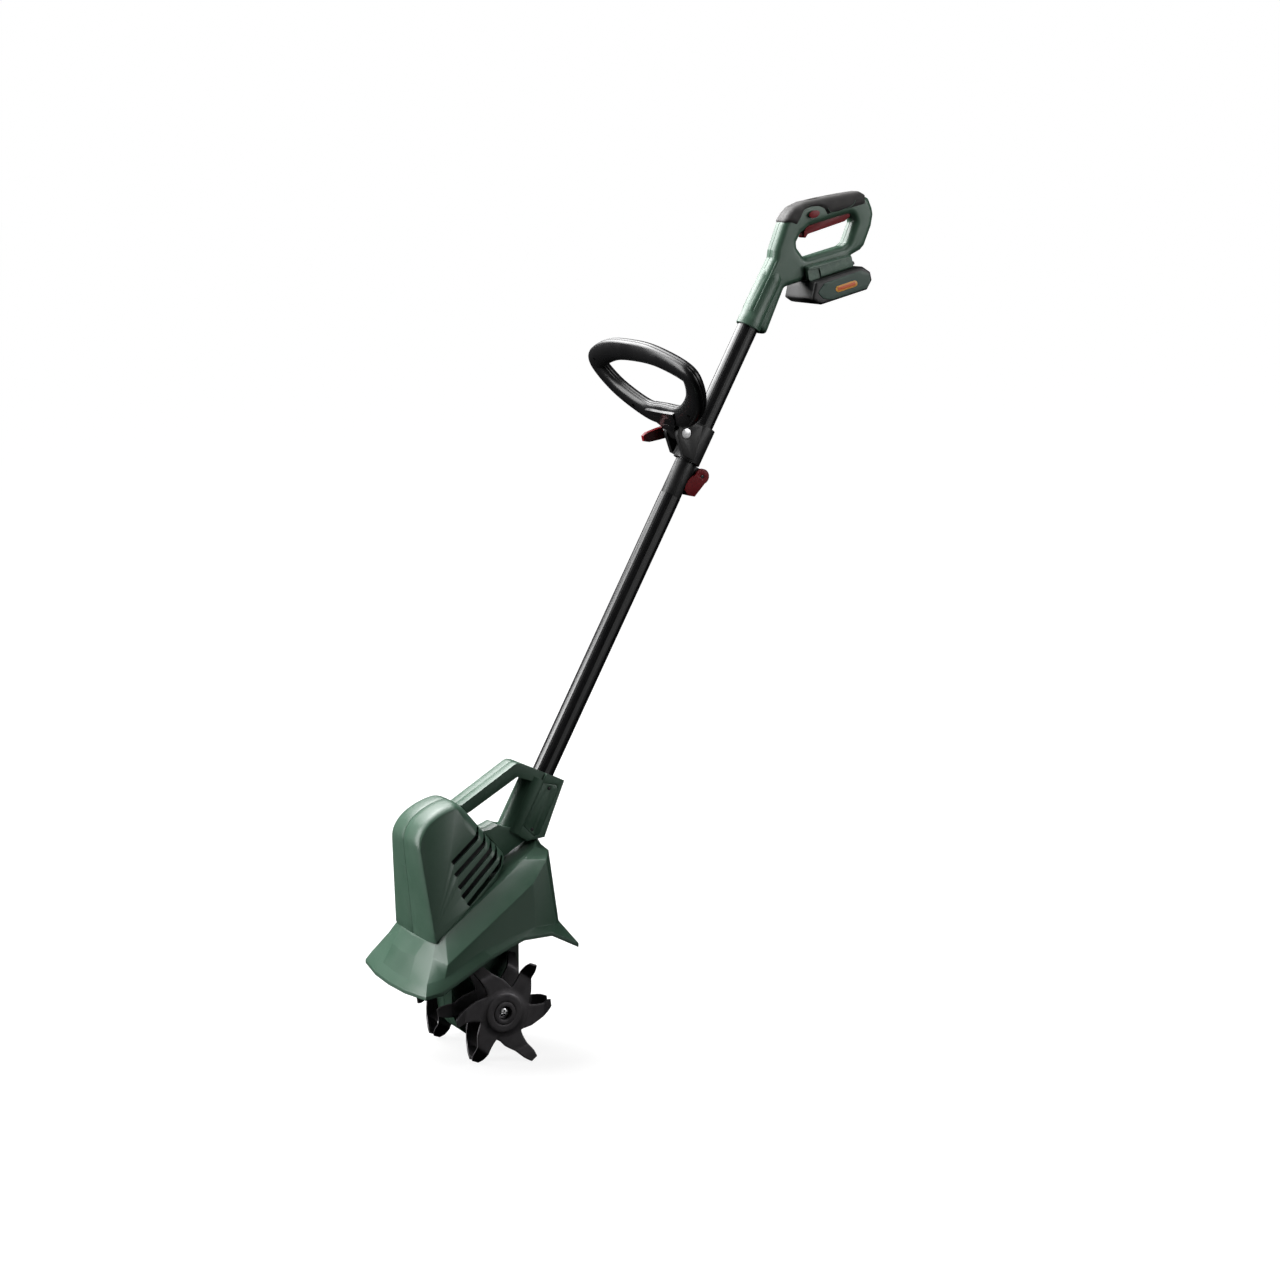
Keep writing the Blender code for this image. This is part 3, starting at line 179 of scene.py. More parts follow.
def moulded(name, dark, light, rough, grain=1400.0, depth=0.00006, edge=None, specular=0.4):
    """Moulded plastic: fine spark-eroded grain, faint flow marks, slightly paler worn edges."""
    n = Nodes(name)
    flow = n.noise(9.0, 4.0)
    colour = n.mix(n.span(flow, 0.0, 1.0), dark, light)
    if edge:
        worn = n.worn_edges()
        scuffs = n.span(n.noise(140.0, 4.0), 0.0, 0.55, 0.45, 0.65)
        spread = n.add("ShaderNodeMath", operation="MULTIPLY")
        n.link(worn, spread.inputs[0])
        n.link(scuffs, spread.inputs[1])
        colour = n.mix(spread.outputs[0], colour, edge)
    fine = n.noise(grain, 2.0)
    roughness = n.span(n.noise(35.0, 3.0), rough - 0.05, rough + 0.06)
    normal = n.bump(fine, depth, 0.55, n.bump(n.noise(60.0, 2.0), 0.00010, 0.12))
    return n.finish(colour, roughness, normal, specular=specular)


def rubber(name):
    """Soft overmould: matt, with a fine pebble texture."""
    n = Nodes(name)
    colour = n.mix(n.span(n.noise(22.0, 4.0), 0.0, 1.0), (0.030, 0.028, 0.028), (0.047, 0.044, 0.043))
    pebble = n.cells(900.0)
    roughness = n.span(n.noise(60.0), 0.56, 0.70)
    normal = n.bump(pebble, 0.00012, 0.7)
    material = n.finish(colour, roughness, normal, specular=0.35)
    n.shader.inputs["Sheen Weight"].default_value = 0.12
    n.shader.inputs["Sheen Roughness"].default_value = 0.5
    return material


def painted(name, dark, light, rough):
    """Baked enamel over steel tube: smooth, with a trace of orange peel and fine handling marks."""
    n = Nodes(name)
    colour = n.mix(n.span(n.noise(14.0, 3.0), 0.0, 1.0), dark, light)
    marks = n.noise(30.0, 5.0, 0.6, (14.0, 1.0, 1.0))
    roughness = n.span(marks, rough - 0.04, rough + 0.09)
    normal = n.bump(n.noise(420.0, 2.0), 0.00004, 0.35)
    return n.finish(colour, roughness, normal, coat=0.35, coat_rough=0.12)


def blackened_steel(name):
    """Hardened tine steel with a dark oxide coat, rubbed brighter along its edges."""
    n = Nodes(name)
    mottle = n.noise(45.0, 6.0, 0.6)
    colour = n.mix(n.span(mottle, 0.0, 1.0), (0.070, 0.067, 0.071), (0.105, 0.100, 0.105))
    worn = n.worn_edges(0.515, 0.60)
    scuffs = n.span(n.noise(160.0, 4.0), 0.0, 0.7, 0.42, 0.66)
    spread = n.add("ShaderNodeMath", operation="MULTIPLY")
    n.link(worn, spread.inputs[0])
    n.link(scuffs, spread.inputs[1])
    colour = n.mix(spread.outputs[0], colour, (0.22, 0.215, 0.22))
    scratches = n.noise(70.0, 4.0, 0.6, (1.0, 9.0, 1.0))
    roughness = n.span(scratches, 0.36, 0.56)
    normal = n.bump(n.noise(520.0, 3.0), 0.00007, 0.5)
    return n.finish(colour, roughness, normal, metallic=0.7, specular=0.5)


def metal(name, dark, light, rough, stretch=(1.0, 1.0, 12.0)):
    """Bare metal with fine turning marks."""
    n = Nodes(name)
    colour = n.mix(n.span(n.noise(80.0, 4.0), 0.0, 1.0), dark, light)
    lines = n.noise(260.0, 3.0, 0.6, stretch)
    roughness = n.span(lines, rough - 0.06, rough + 0.10)
    normal = n.bump(lines, 0.00002, 0.4)
    return n.finish(colour, roughness, normal, metallic=1.0)


GREEN = moulded("green_plastic", (0.050, 0.098, 0.068), (0.058, 0.110, 0.077), 0.34, edge=(0.110, 0.170, 0.135))
GREEN_DARK = moulded("label_green", (0.010, 0.040, 0.026), (0.014, 0.050, 0.033), 0.34)
BLACK = moulded("black_plastic", (0.0105, 0.0105, 0.011), (0.0165, 0.0165, 0.017), 0.40, edge=(0.045, 0.045, 0.046))
GLOSSY = moulded("glossy_black_plastic", (0.0080, 0.0080, 0.0085), (0.0120, 0.0120, 0.0125), 0.27, grain=900.0, depth=0.00002)
RED = moulded("red_plastic", (0.150, 0.0040, 0.0070), (0.200, 0.0060, 0.0100), 0.34, edge=(0.32, 0.05, 0.06), specular=0.22)
AMBER = moulded("amber_window", (0.72, 0.300, 0.025), (0.80, 0.36, 0.035), 0.30)
ORANGE = moulded("orange_window", (0.62, 0.090, 0.010), (0.70, 0.12, 0.012), 0.30)
RUBBER = rubber("soft_grip")
PAINT = painted("painted_tube", (0.0075, 0.0075, 0.0082), (0.0115, 0.0115, 0.0122), 0.25)
TINE = blackened_steel("tine_steel")
STEEL = metal("bright_steel", (0.56, 0.56, 0.57), (0.70, 0.70, 0.71), 0.24)
ALUMINIUM = metal("battery_cells", (0.50, 0.51, 0.53), (0.62, 0.62, 0.64), 0.32)
BRONZE = metal("bronze", (0.50, 0.33, 0.13), (0.60, 0.40, 0.18), 0.36)
SLOT_MATERIAL = {
    "green_plastic": GREEN,
    "black_plastic": BLACK,
    "soft_grip": RUBBER,
    "red_plastic": RED,
    "painted_tube": PAINT,
    "tine_steel": TINE,
    "bright_steel": STEEL,
    "battery_cells": ALUMINIUM,
    "bronze": BRONZE,
}

# Mesh helpers ---------------------------------------------------------------------------------


def shade(obj, angle=35.0):
    obj.data.shade_smooth()
    obj.data.set_sharp_from_angle(angle=math.radians(angle))


def make_object(name, bm, material):
    """A bmesh, given relative to the axle's foot, as an object in the machine's place."""
    bmesh.ops.recalc_face_normals(bm, faces=bm.faces)
    bmesh.ops.translate(bm, verts=bm.verts, vec=SHIFT)
    mesh = bpy.data.meshes.new(name)
    bm.to_mesh(mesh)
    bm.free()
    mesh.materials.append(material)
    obj = bpy.data.objects.new(name, mesh)
    bpy.context.scene.collection.objects.link(obj)
    return obj


def settle(obj, angle=35.0):
    """Applies an object's modifiers to its mesh."""
    bpy.context.view_layer.update()
    graph = bpy.context.evaluated_depsgraph_get()
    mesh = bpy.data.meshes.new_from_object(obj.evaluated_get(graph))
    obj.modifiers.clear()
    old = obj.data
    obj.data = mesh
    mesh.name = obj.name
    bpy.data.meshes.remove(old)
    shade(obj, angle)
    return obj


def cut(obj, cutters, operation="DIFFERENCE"):
    """Takes bmeshes out of an object, or joins them on, one after another."""
    helpers = []
    for bm in cutters:
        helper = make_object(f"{obj.name}_cutter", bm, obj.data.materials[0])
        modifier = obj.modifiers.new("cut", "BOOLEAN")
        modifier.object = helper
        modifier.operation = operation
        modifier.solver = "EXACT"
        weld = obj.modifiers.new("weld", "WELD")
        weld.merge_threshold = 0.00002
        helpers.append(helper)
    settle(obj)
    for helper in helpers:
        bpy.data.objects.remove(helper, do_unlink=True)
    return obj


def ease(obj, width, segments=3, angle=30.0, smooth=35.0):
    """Rounds every edge sharper than the angle given."""
    bevel = obj.modifiers.new("ease", "BEVEL")
    bevel.width = width
    bevel.segments = segments
    bevel.limit_method = "ANGLE"
    bevel.angle_limit = math.radians(angle)
    bevel.harden_normals = False
    return settle(obj, smooth)


def keep(obj, body, slot, *nodes):
    """Gives a finished piece its body and hides the CAD nodes that it stands for. The slot is not used."""
    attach(obj, body)
    if nodes:
        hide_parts(*nodes)
    return obj


def eased_copy(node, name, material, width, segments=3, angle=30.0):
    """A CAD node's shape with its edges rounded off."""
    source = frame["nodes"][node].data
    bm = bmesh.new()
    bm.from_mesh(source)
    bmesh.ops.remove_doubles(bm, verts=bm.verts, dist=0.00001)
    bmesh.ops.dissolve_limit(bm, angle_limit=math.radians(1.0), verts=bm.verts, edges=bm.edges)
    bmesh.ops.translate(bm, verts=bm.verts, vec=-SHIFT)
    obj = make_object(name, bm, material)
    return ease(obj, width, segments, angle)


def prism(outline, x_from, x_to):
    """A flat (y, z) outline made solid between two X planes."""
    bm = bmesh.new()
    loops = [[bm.verts.new((x, y, z)) for y, z in outline] for x in (x_from, x_to)]
    count = len(outline)
    for i in range(count):
        j = (i + 1) % count
        bm.faces.new((loops[0][i], loops[0][j], loops[1][j], loops[1][i]))
    bm.faces.new(loops[0])
    bm.faces.new(loops[1])
    bmesh.ops.recalc_face_normals(bm, faces=bm.faces)
    return bm


def frame_about(axis):
    axis = axis.normalized()
    side = axis.cross(X_AXIS)
    if side.length < 0.1:
        side = axis.cross(Z_AXIS)
    side.normalize()
    return side, axis.cross(side)


def turned(profile, centre, axis, segments=48):
    """A closed (radius, distance) profile turned about an axis. A radius of 0 ends in a point."""
    bm = bmesh.new()
    centre = Vector(centre)
    axis = Vector(axis).normalized()
    side, other = frame_about(axis)
    rings = []
    for radius, distance in profile:
        centre_here = centre + axis * distance
        if radius == 0:
            rings.append([bm.verts.new(centre_here)] * segments)
            continue
        ring = []
        for i in range(segments):
            angle = 2 * math.pi * (i + 0.5) / segments
            ring.append(bm.verts.new(centre_here + (side * math.cos(angle) + other * math.sin(angle)) * radius))
        rings.append(ring)
    for first, second in zip(rings, rings[1:] + rings[:1]):
        for i in range(segments):
            j = (i + 1) % segments
            corners = []
            for vert in (first[i], first[j], second[j], second[i]):
                if vert not in corners:
                    corners.append(vert)
            if len(corners) > 2:
                bm.faces.new(corners)
    bmesh.ops.recalc_face_normals(bm, faces=bm.faces)
    return bm


def rod(radius, start, end, segments=32):
    start = Vector(start)
    run = Vector(end) - start
    return turned([(0, 0), (radius, 0), (radius, run.length), (0, run.length)], start, run, segments)


def smooth_line(points, steps, closed=True):
    """A Catmull-Rom curve through points."""
    points = [Vector(p) for p in points]
    count = len(points)
    result = []
    for i in range(count if closed else count - 1):
        if closed:
            before, here, there, after = (points[(i + k) % count] for k in (-1, 0, 1, 2))
        else:
            here, there = points[i], points[i + 1]
            before = points[i - 1] if i else here * 2 - there
            after = points[i + 2] if i + 2 < count else there * 2 - here
        for step in range(steps):
            t = step / steps
            p = here * 2 + (there - before) * t
            p += (before * 2 - here * 5 + there * 4 - after) * t * t
            p += (here * 3 - before - there * 3 + after) * t * t * t
            result.append(p * 0.5)
    if not closed:
        result.append(points[-1])
    return result


def rounded(outline, radius, steps=4):
    """A closed outline with its corners replaced by arcs, as large as the edges there allow."""
    points = [Vector(p) for p in outline]
    count = len(points)
    result = []
    for i in range(count):
        before, here, after = points[i - 1], points[i], points[(i + 1) % count]
        to_before, to_after = before - here, after - here
        cosine = max(-1.0, min(1.0, to_before.normalized().dot(to_after.normalized())))
        half = math.acos(cosine) / 2
        if half > math.radians(86):
            result.append(here)
            continue
        reach = min(radius / math.tan(half), 0.46 * to_before.length, 0.46 * to_after.length)
        start = here + to_before.normalized() * reach
        end = here + to_after.normalized() * reach
        for step in range(steps + 1):
            t = step / steps
            result.append(start * (1 - t) ** 2 + here * 2 * t * (1 - t) + end * t * t)
    return result


def spaced(points, longest):
    """A closed outline with its long edges divided."""
    result = []
    for i, here in enumerate(points):
        there = points[(i + 1) % len(points)]
        pieces = max(1, math.ceil((there - here).length / longest))
        for k in range(pieces):
            result.append(here.lerp(there, k / pieces))
    return result


def distance_to(points, loops):
    """How far each point is from the nearest loop edge, and whether it is inside the shape."""
    points = np.asarray(points, float)
    nearest = np.full(len(points), 1e9)
    inside = np.zeros(len(points), bool)
    for loop in loops:
        start = np.array([tuple(p) for p in loop])
        end = np.roll(start, -1, 0)
        run = end - start
        for a, b, d in zip(start, end, run):
            t = np.clip(((points - a) @ d) / max(float(d @ d), 1e-18), 0, 1)
            gap = np.hypot(*(points - a - t[:, None] * d).T)
            nearest = np.minimum(nearest, gap)
            if a[1] != b[1]:
                crosses = (a[1] > points[:, 1]) != (b[1] > points[:, 1])
                at = a[0] + (points[:, 1] - a[1]) * d[0] / (b[1] - a[1])
                inside ^= crosses & (points[:, 0] < at)
    return nearest, inside


def pillow(name, outline, half_width, radius, material, side=1, holes=(), base=GAP / 2, both=False, place=None, fine=0.004, seam=0.0004):
    """A solid seen from the side as an outline, with its outer edges rolled over to a radius.

    It reaches from the split plane to half_width, or equally far to both sides.
    """
    place = place or (lambda x, u, v: Vector((x, u, v)))
    loops = [spaced([Vector(p) for p in loop], fine) for loop in (outline, *holes)]
    points, edges = [], []
    for loop in loops:
        first = len(points)
        points += [tuple(p) for p in loop]
        edges += [(first + i, first + (i + 1) % len(loop)) for i in range(len(loop))]
    extra = []
    for loop in loops:
        for i, here in enumerate(loop):
            run = (loop[(i + 1) % len(loop)] - loop[i - 1]).normalized()
            for turn in (1, -1):
                inward = Vector((-run.y, run.x)) * turn
                for angle in (22.0, 42.0, 60.0, 76.0, 90.0):
                    depth = radius * (1 - math.cos(math.radians(angle)))
                    extra.append((*(here + inward * depth), depth))
    extra = np.array(extra)
    gap, inside = distance_to(extra[:, :2], loops)
    extra = extra[inside & (gap > 0.90 * extra[:, 2]) & (extra[:, 2] > 0.00004)][:, :2]
    low = np.min(points, 0)
    high = np.max(points, 0)
    pitch = max(radius, 0.006)
    grid = [(u, v) for u in np.arange(low[0], high[0], pitch) for v in np.arange(low[1], high[1], pitch)]
    gap, inside = distance_to(grid, loops)
    grid = np.array(grid)[inside & (gap > radius * 1.25)]
    every = [Vector(p) for p in points] + [Vector(p) for p in extra] + [Vector(p) for p in grid]
    flat, _, faces, *_ = geometry.delaunay_2d_cdt(every, edges, [], 0, 0.00002)
    gap, _ = distance_to([tuple(p) for p in flat], loops)
    centres = [sum((flat[i] for i in face), Vector((0, 0))) / len(face) for face in faces]
    _, inside = distance_to([tuple(p) for p in centres], loops)
    faces = [face for face, good in zip(faces, inside) if good]
    rise = np.clip(gap, 0, radius)
    height = half_width - radius + np.sqrt(np.maximum(radius**2 - (radius - rise) ** 2, 0))
    used = {i for face in faces for i in face}
    rim = {}
    for face in faces:
        for k in range(len(face)):
            edge = (face[k], face[(k + 1) % len(face)])
            if (edge[1], edge[0]) in rim:
                del rim[(edge[1], edge[0])]
            else:
                rim[edge] = True
    bm = bmesh.new()
    top = {i: bm.verts.new(place(side * height[i], flat[i].x, flat[i].y)) for i in used}
    if both:
        under = {i: bm.verts.new(place(-side * height[i], flat[i].x, flat[i].y)) for i in used}
    else:
        under = {}
        outer = {i for edge in rim for i in edge}
        mean = {}
        for a, b in rim:
            run = (flat[b] - flat[a]).normalized()
            for i in (a, b):
                mean[i] = mean.get(i, Vector((0, 0))) + Vector((-run.y, run.x))
        for i in used:
            p = flat[i].copy()
            if i in outer and mean[i].length > 0:
                p += mean[i].normalized() * seam
            under[i] = bm.verts.new(place(side * base, p.x, p.y))
        step = {i: bm.verts.new(place(side * (base + seam * 1.2), flat[i].x, flat[i].y)) for i in outer}
    for face in faces:
        bm.faces.new([top[i] for i in face])
        bm.faces.new([under[i] for i in reversed(face)])
    for a, b in rim:
        if both:
            bm.faces.new((top[a], top[b], under[b], under[a]))
        else:
            bm.faces.new((top[a], top[b], step[b], step[a]))
            bm.faces.new((step[a], step[b], under[b], under[a]))
    obj = make_object(name, bm, material)
    shade(obj, 40.0)
    return obj


# Tines ----------------------------------------------------------------------------------------

TINE_TEETH = 6
TINE_ANGLE = math.radians(-2)
INNER_TINE_LEAD = math.radians(1.5)
TINE_BEND = 0.014
DISC_THICKNESS = 0.003
HUB_RADIUS = 0.0160
# Radius and degrees from the tooth's own direction: its leading edge, then its trailing edge.
TOOTH_LEADING = [(0.0, 0.0372, 15.0), (0.35, 0.0500, 8.8), (0.6, 0.0610, 8.0), (0.8, 0.0700, 8.0), (1.0, 0.0768, 6.0)]
TOOTH_TRAILING = [
    (0.0, 0.0372, -45.0),
    (0.2, 0.0415, -37.0),
    (0.4, 0.0490, -25.0),
    (0.6, 0.0600, -11.5),
    (0.85, 0.0710, -6.0),
    (1.0, 0.0783, -1.5),
]
RING_STEPS = [(0.0163, 0.0011), (0.0200, 0.0011), (0.0235, 0.0011), (0.0258, 0.0011), (0.0272, 0.0006), (0.0282, 0.0)]


def edge_at(line, v):
    """A point of a tooth's edge, this share of the way from its notch to its tip."""
    points = [Vector((r * math.cos(math.radians(a)), r * math.sin(math.radians(a)))) for _, r, a in line]
    shares = [share for share, _, _ in line]
    for i in range(len(line) - 1):
        if v <= shares[i + 1] + 1e-9:
            here, there = points[i], points[i + 1]
            before = points[i - 1] if i else here * 2 - there
            after = points[i + 2] if i + 2 < len(points) else there * 2 - here
            t = (v - shares[i]) / (shares[i + 1] - shares[i])
            p = here * 2 + (there - before) * t
            p += (before * 2 - here * 5 + there * 4 - after) * t * t
            p += (here * 3 - before - there * 3 + after) * t * t * t
            return p * 0.5
    return points[-1]


def tine_disc(name, node, side, turn, first_lean, body):
    """A stamped disc: dished in its middle, with hooked teeth folded outwards and inwards in turn."""
    x = middle(node).x
    rows = [0.0, 0.12, 0.24, 0.36, 0.48, 0.57, 0.60, 0.64, 0.72, 0.82, 0.92, 1.0]
    across = 8
    bm = bmesh.new()

    def vert(p, lift):
        return bm.verts.new((x + lift, p.x * 0.9965, AXLE_HEIGHT + p.y * 0.9965))

    rings = [[] for _ in RING_STEPS]
    for tooth in range(TINE_TEETH):
        spin = Matrix.Rotation(turn - tooth * 2 * math.pi / TINE_TEETH, 2)
        lean = first_lean * TINE_BEND * (-1) ** tooth
        grid = []
        for v in rows:
            beyond = max(0.0, (v - 0.585) / 0.415)
            lift = lean * beyond * min(1.0, 0.35 + beyond * 4.0)
            row = []
            for k in range(across + 1):
                u = k / across
                p = edge_at(TOOTH_LEADING, v).lerp(edge_at(TOOTH_TRAILING, v), u)
                if v < 0.3:
                    bulge = 0.0372 - p.length
                    p *= 1 + bulge / p.length * (1 - v / 0.3) * 0.75
                row.append((spin @ p, lift))
            grid.append(row)
        verts = [[vert(p, lift) for p, lift in row] for row in grid]
        for first, second in zip(verts, verts[1:]):
            for k in range(across):
                bm.faces.new((first[k], first[k + 1], second[k + 1], second[k]))
        for ring, (radius, lift) in zip(rings, RING_STEPS):
            for p, _ in grid[0][:-1]:
                ring.append(vert(p.normalized() * radius, side * lift))
        rings_end = [ring[-across:] for ring in rings]
        for k in range(across - 1):
            bm.faces.new((rings_end[-1][k], rings_end[-1][k + 1], verts[0][k + 1], verts[0][k]))
        rings[-1][-1].tag = True
        tine_disc.last = getattr(tine_disc, "last", [])
        tine_disc.last.append((verts[0][across - 1], verts[0][across], len(rings[-1]) - 1))
    for first, second in zip(rings, rings[1:]):
        for i in range(len(first)):
            j = (i + 1) % len(first)
            bm.faces.new((first[i], first[j], second[j], second[i]))
    count = len(rings[-1])
    for near, far, index in tine_disc.last:
        bm.faces.new((rings[-1][index], rings[-1][(index + 1) % count], far, near))
    tine_disc.last = []
    bmesh.ops.remove_doubles(bm, verts=bm.verts, dist=0.00002)
    obj = make_object(name, bm, TINE)
    solid = obj.modifiers.new("sheet", "SOLIDIFY")
    solid.thickness = DISC_THICKNESS
    solid.offset = 0.0
    ease(obj, 0.0006, 2, 50.0)
    return keep(obj, body, "tine_steel", node)


def screw_head(name, node, centre, axis, radius, rise, depth, body):
    """A pan-head screw with a cross recess."""
    profile = [(0, 0), (radius, 0), (radius * 0.98, rise * 0.35), (radius * 0.82, rise * 0.72), (radius * 0.5, rise * 0.95), (0, rise)]
    obj = make_object(name, turned(profile, centre, axis, 32), STEEL)
    axis = Vector(axis).normalized()
    side, other = frame_about(axis)
    cutters = []
    for first, second in ((side, other), (other, side)):
        bm = bmesh.new()
        for a in (-1, 1):
            for b in (-1, 1):
                for c in (0, 1):
                    p = Vector(centre) + first * a * radius * 0.55 + second * b * radius * 0.13
                    bm.verts.new(p + axis * (rise - depth + c * (depth + rise)))
        bmesh.ops.convex_hull(bm, input=bm.verts)
        cutters.append(bm)
    cut(obj, cutters)
    shade(obj, 30.0)
    return keep(obj, body, "bright_steel", node)


def build_tines():
    for side, word in ((1, "left"), (-1, "right")):
        tine_disc(f"outer_disc_{word}", f"outer_tine_{word}", side, TINE_ANGLE, -side, "tines")
        tine_disc(f"inner_disc_{word}", f"inner_tine_{word}", side, TINE_ANGLE + INNER_TINE_LEAD, side, "tines")
        hub = eased_copy(f"tine_hub_{word}", f"hub_sleeve_{word}", TINE, 0.0008, 3)
        keep(hub, "tines", "tine_steel", f"tine_hub_{word}")
        low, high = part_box(f"axle_screw_{word}")
        start = low.x if side > 0 else high.x
        centre = AXLE + X_AXIS * start
        screw_head(f"end_screw_{word}", f"axle_screw_{word}", centre, X_AXIS * side, 0.0085, 0.0044, 0.0024, "tines")


# Hood -----------------------------------------------------------------------------------------

DECK_SLOPE = 0.754


def deck(y):
    """Height of the hood's sloping top at this distance behind the axle."""
    return 0.173 + DECK_SLOPE * (y + 0.098)


def hood_rings():
    """Half outlines of the hood, front to back, from its deck opening out to its turned-down rim."""
    opening = [(0, -0.072), (0.022, -0.072), (0.034, -0.066), (0.036, -0.055), (0.036, -0.030)]
    opening += [(0.036, -0.008), (0.034, 0.002), (0.022, 0.008), (0, 0.008)]
    opening = [(x, y, deck(y)) for x, y in opening]
    shoulder = [(0, -0.099), (0.040, -0.097), (0.064, -0.092), (0.0685, -0.080), (0.0685, -0.035), (0.0685, 0.010)]
    shoulder = [(x, y, deck(y)) for x, y in shoulder]
    shoulder += [(0.067, 0.040, 0.277), (0.045, 0.066, 0.286), (0, 0.092, 0.290)]
    wall_top = [
        (0, -0.116, 0.152),
        (0.038, -0.111, 0.153),
        (0.070, -0.099, 0.157),
        (0.098, -0.089, 0.154),
        (0.0985, -0.030, 0.1985),
        (0.0985, 0.039, 0.251),
        (0.088, 0.064, 0.279),
        (0.050, 0.086, 0.282),
        (0, 0.099, 0.277),
    ]
    wall_foot = [
        (0, -0.125, 0.124),
        (0.045, -0.123, 0.125),
        (0.094, -0.119, 0.129),
        (0.101, -0.095, 0.136),
        (0.102, -0.040, 0.168),
        (0.102, 0.040, 0.191),
        (0.090, 0.078, 0.188),
        (0.052, 0.100, 0.180),
        (0, 0.112, 0.175),
    ]
    rim = [
        (0, -0.135, 0.112),
        (0.050, -0.133, 0.1125),
        (0.104, -0.125, 0.115),
        (0.109, -0.102, 0.120),
        (0.109, -0.030, 0.161),
        (0.109, 0.020, 0.181),
        (0.109, 0.062, 0.182),
        (0.108, 0.103, 0.161),
        (0, 0.122, 0.152),
    ]
    lip = [(x, y, z - 0.0055) for x, y, z in rim]
    return [opening, shoulder, wall_top, wall_foot, rim, lip]


def build_hood():
    """The moulded guard: a sloping deck, faceted walls and a flange that flares over the tines."""
    bm = bmesh.new()
    rings = []
    for half in hood_rings():
        mirrored = [(-x, y, z) for x, y, z in reversed(half[1:-1])]
        rings.append([bm.verts.new(p) for p in half + mirrored])
    for first, second in zip(rings, rings[1:]):
        for i in range(len(first)):
            j = (i + 1) % len(first)
            bm.faces.new((first[i], first[j], second[j], second[i]))
    hood = make_object("hood_shell", bm, GREEN)
    lowest = min(hood.data.polygons, key=lambda face: face.center.y)
    solid = hood.modifiers.new("wall", "SOLIDIFY")
    solid.thickness = 0.0025
    solid.offset = -1.0 if lowest.normal.y < 0 else 1.0
    ease(hood, 0.0013, 2, 9.0, 20.0)
    keep(hood, "head", "green_plastic", "hood")


# Motor housing --------------------------------------------------------------------------------

HOUSING_LINE = [
    (-0.0955, 0.1650),
    (-0.1080, 0.2900),
    (-0.1090, 0.3120),
    (-0.1030, 0.3280),
    (-0.0910, 0.3410),
    (-0.0720, 0.3520),
    (-0.0520, 0.3580),
    (-0.0400, 0.3560),
    (-0.0280, 0.3450),
    (0.0060, 0.3030),
    (0.0190, 0.2890),
    (0.0245, 0.2760),
    (0.0120, 0.2440),
]
HOUSING_MIDDLE = (-0.045, 0.250)
# Share of the half width, then how far the front and the back slope are drawn in there.
HOUSING_SECTIONS = [
    (0.0, 0.0, 0.0),
    (0.012, 0.0, 0.0),
    (0.30, 0.0, 0.0),
    (0.55, 0.0001, 0.0004),
    (0.70, 0.0005, 0.0016),
    (0.80, 0.0010, 0.0036),
    (0.88, 0.0018, 0.0066),
    (0.94, 0.0029, 0.0104),
    (0.98, 0.0040, 0.0145),
    (1.0, 0.0050, 0.0200),
]
VENTS = [
    ((-0.060, 0.2800), (-0.021, 0.3110)),
    ((-0.057, 0.2630), (-0.011, 0.3005)),
    ((-0.053, 0.2455), (-0.002, 0.2910)),
    ((-0.049, 0.2325), (0.0050, 0.2815)),
    ((-0.0415, 0.2215), (0.0100, 0.2690)),
]
VENT_HALF_HEIGHT = 0.0032


def housing_half_width(z):
    return max(0.068 - 0.157 * (z - 0.178), 0.040)


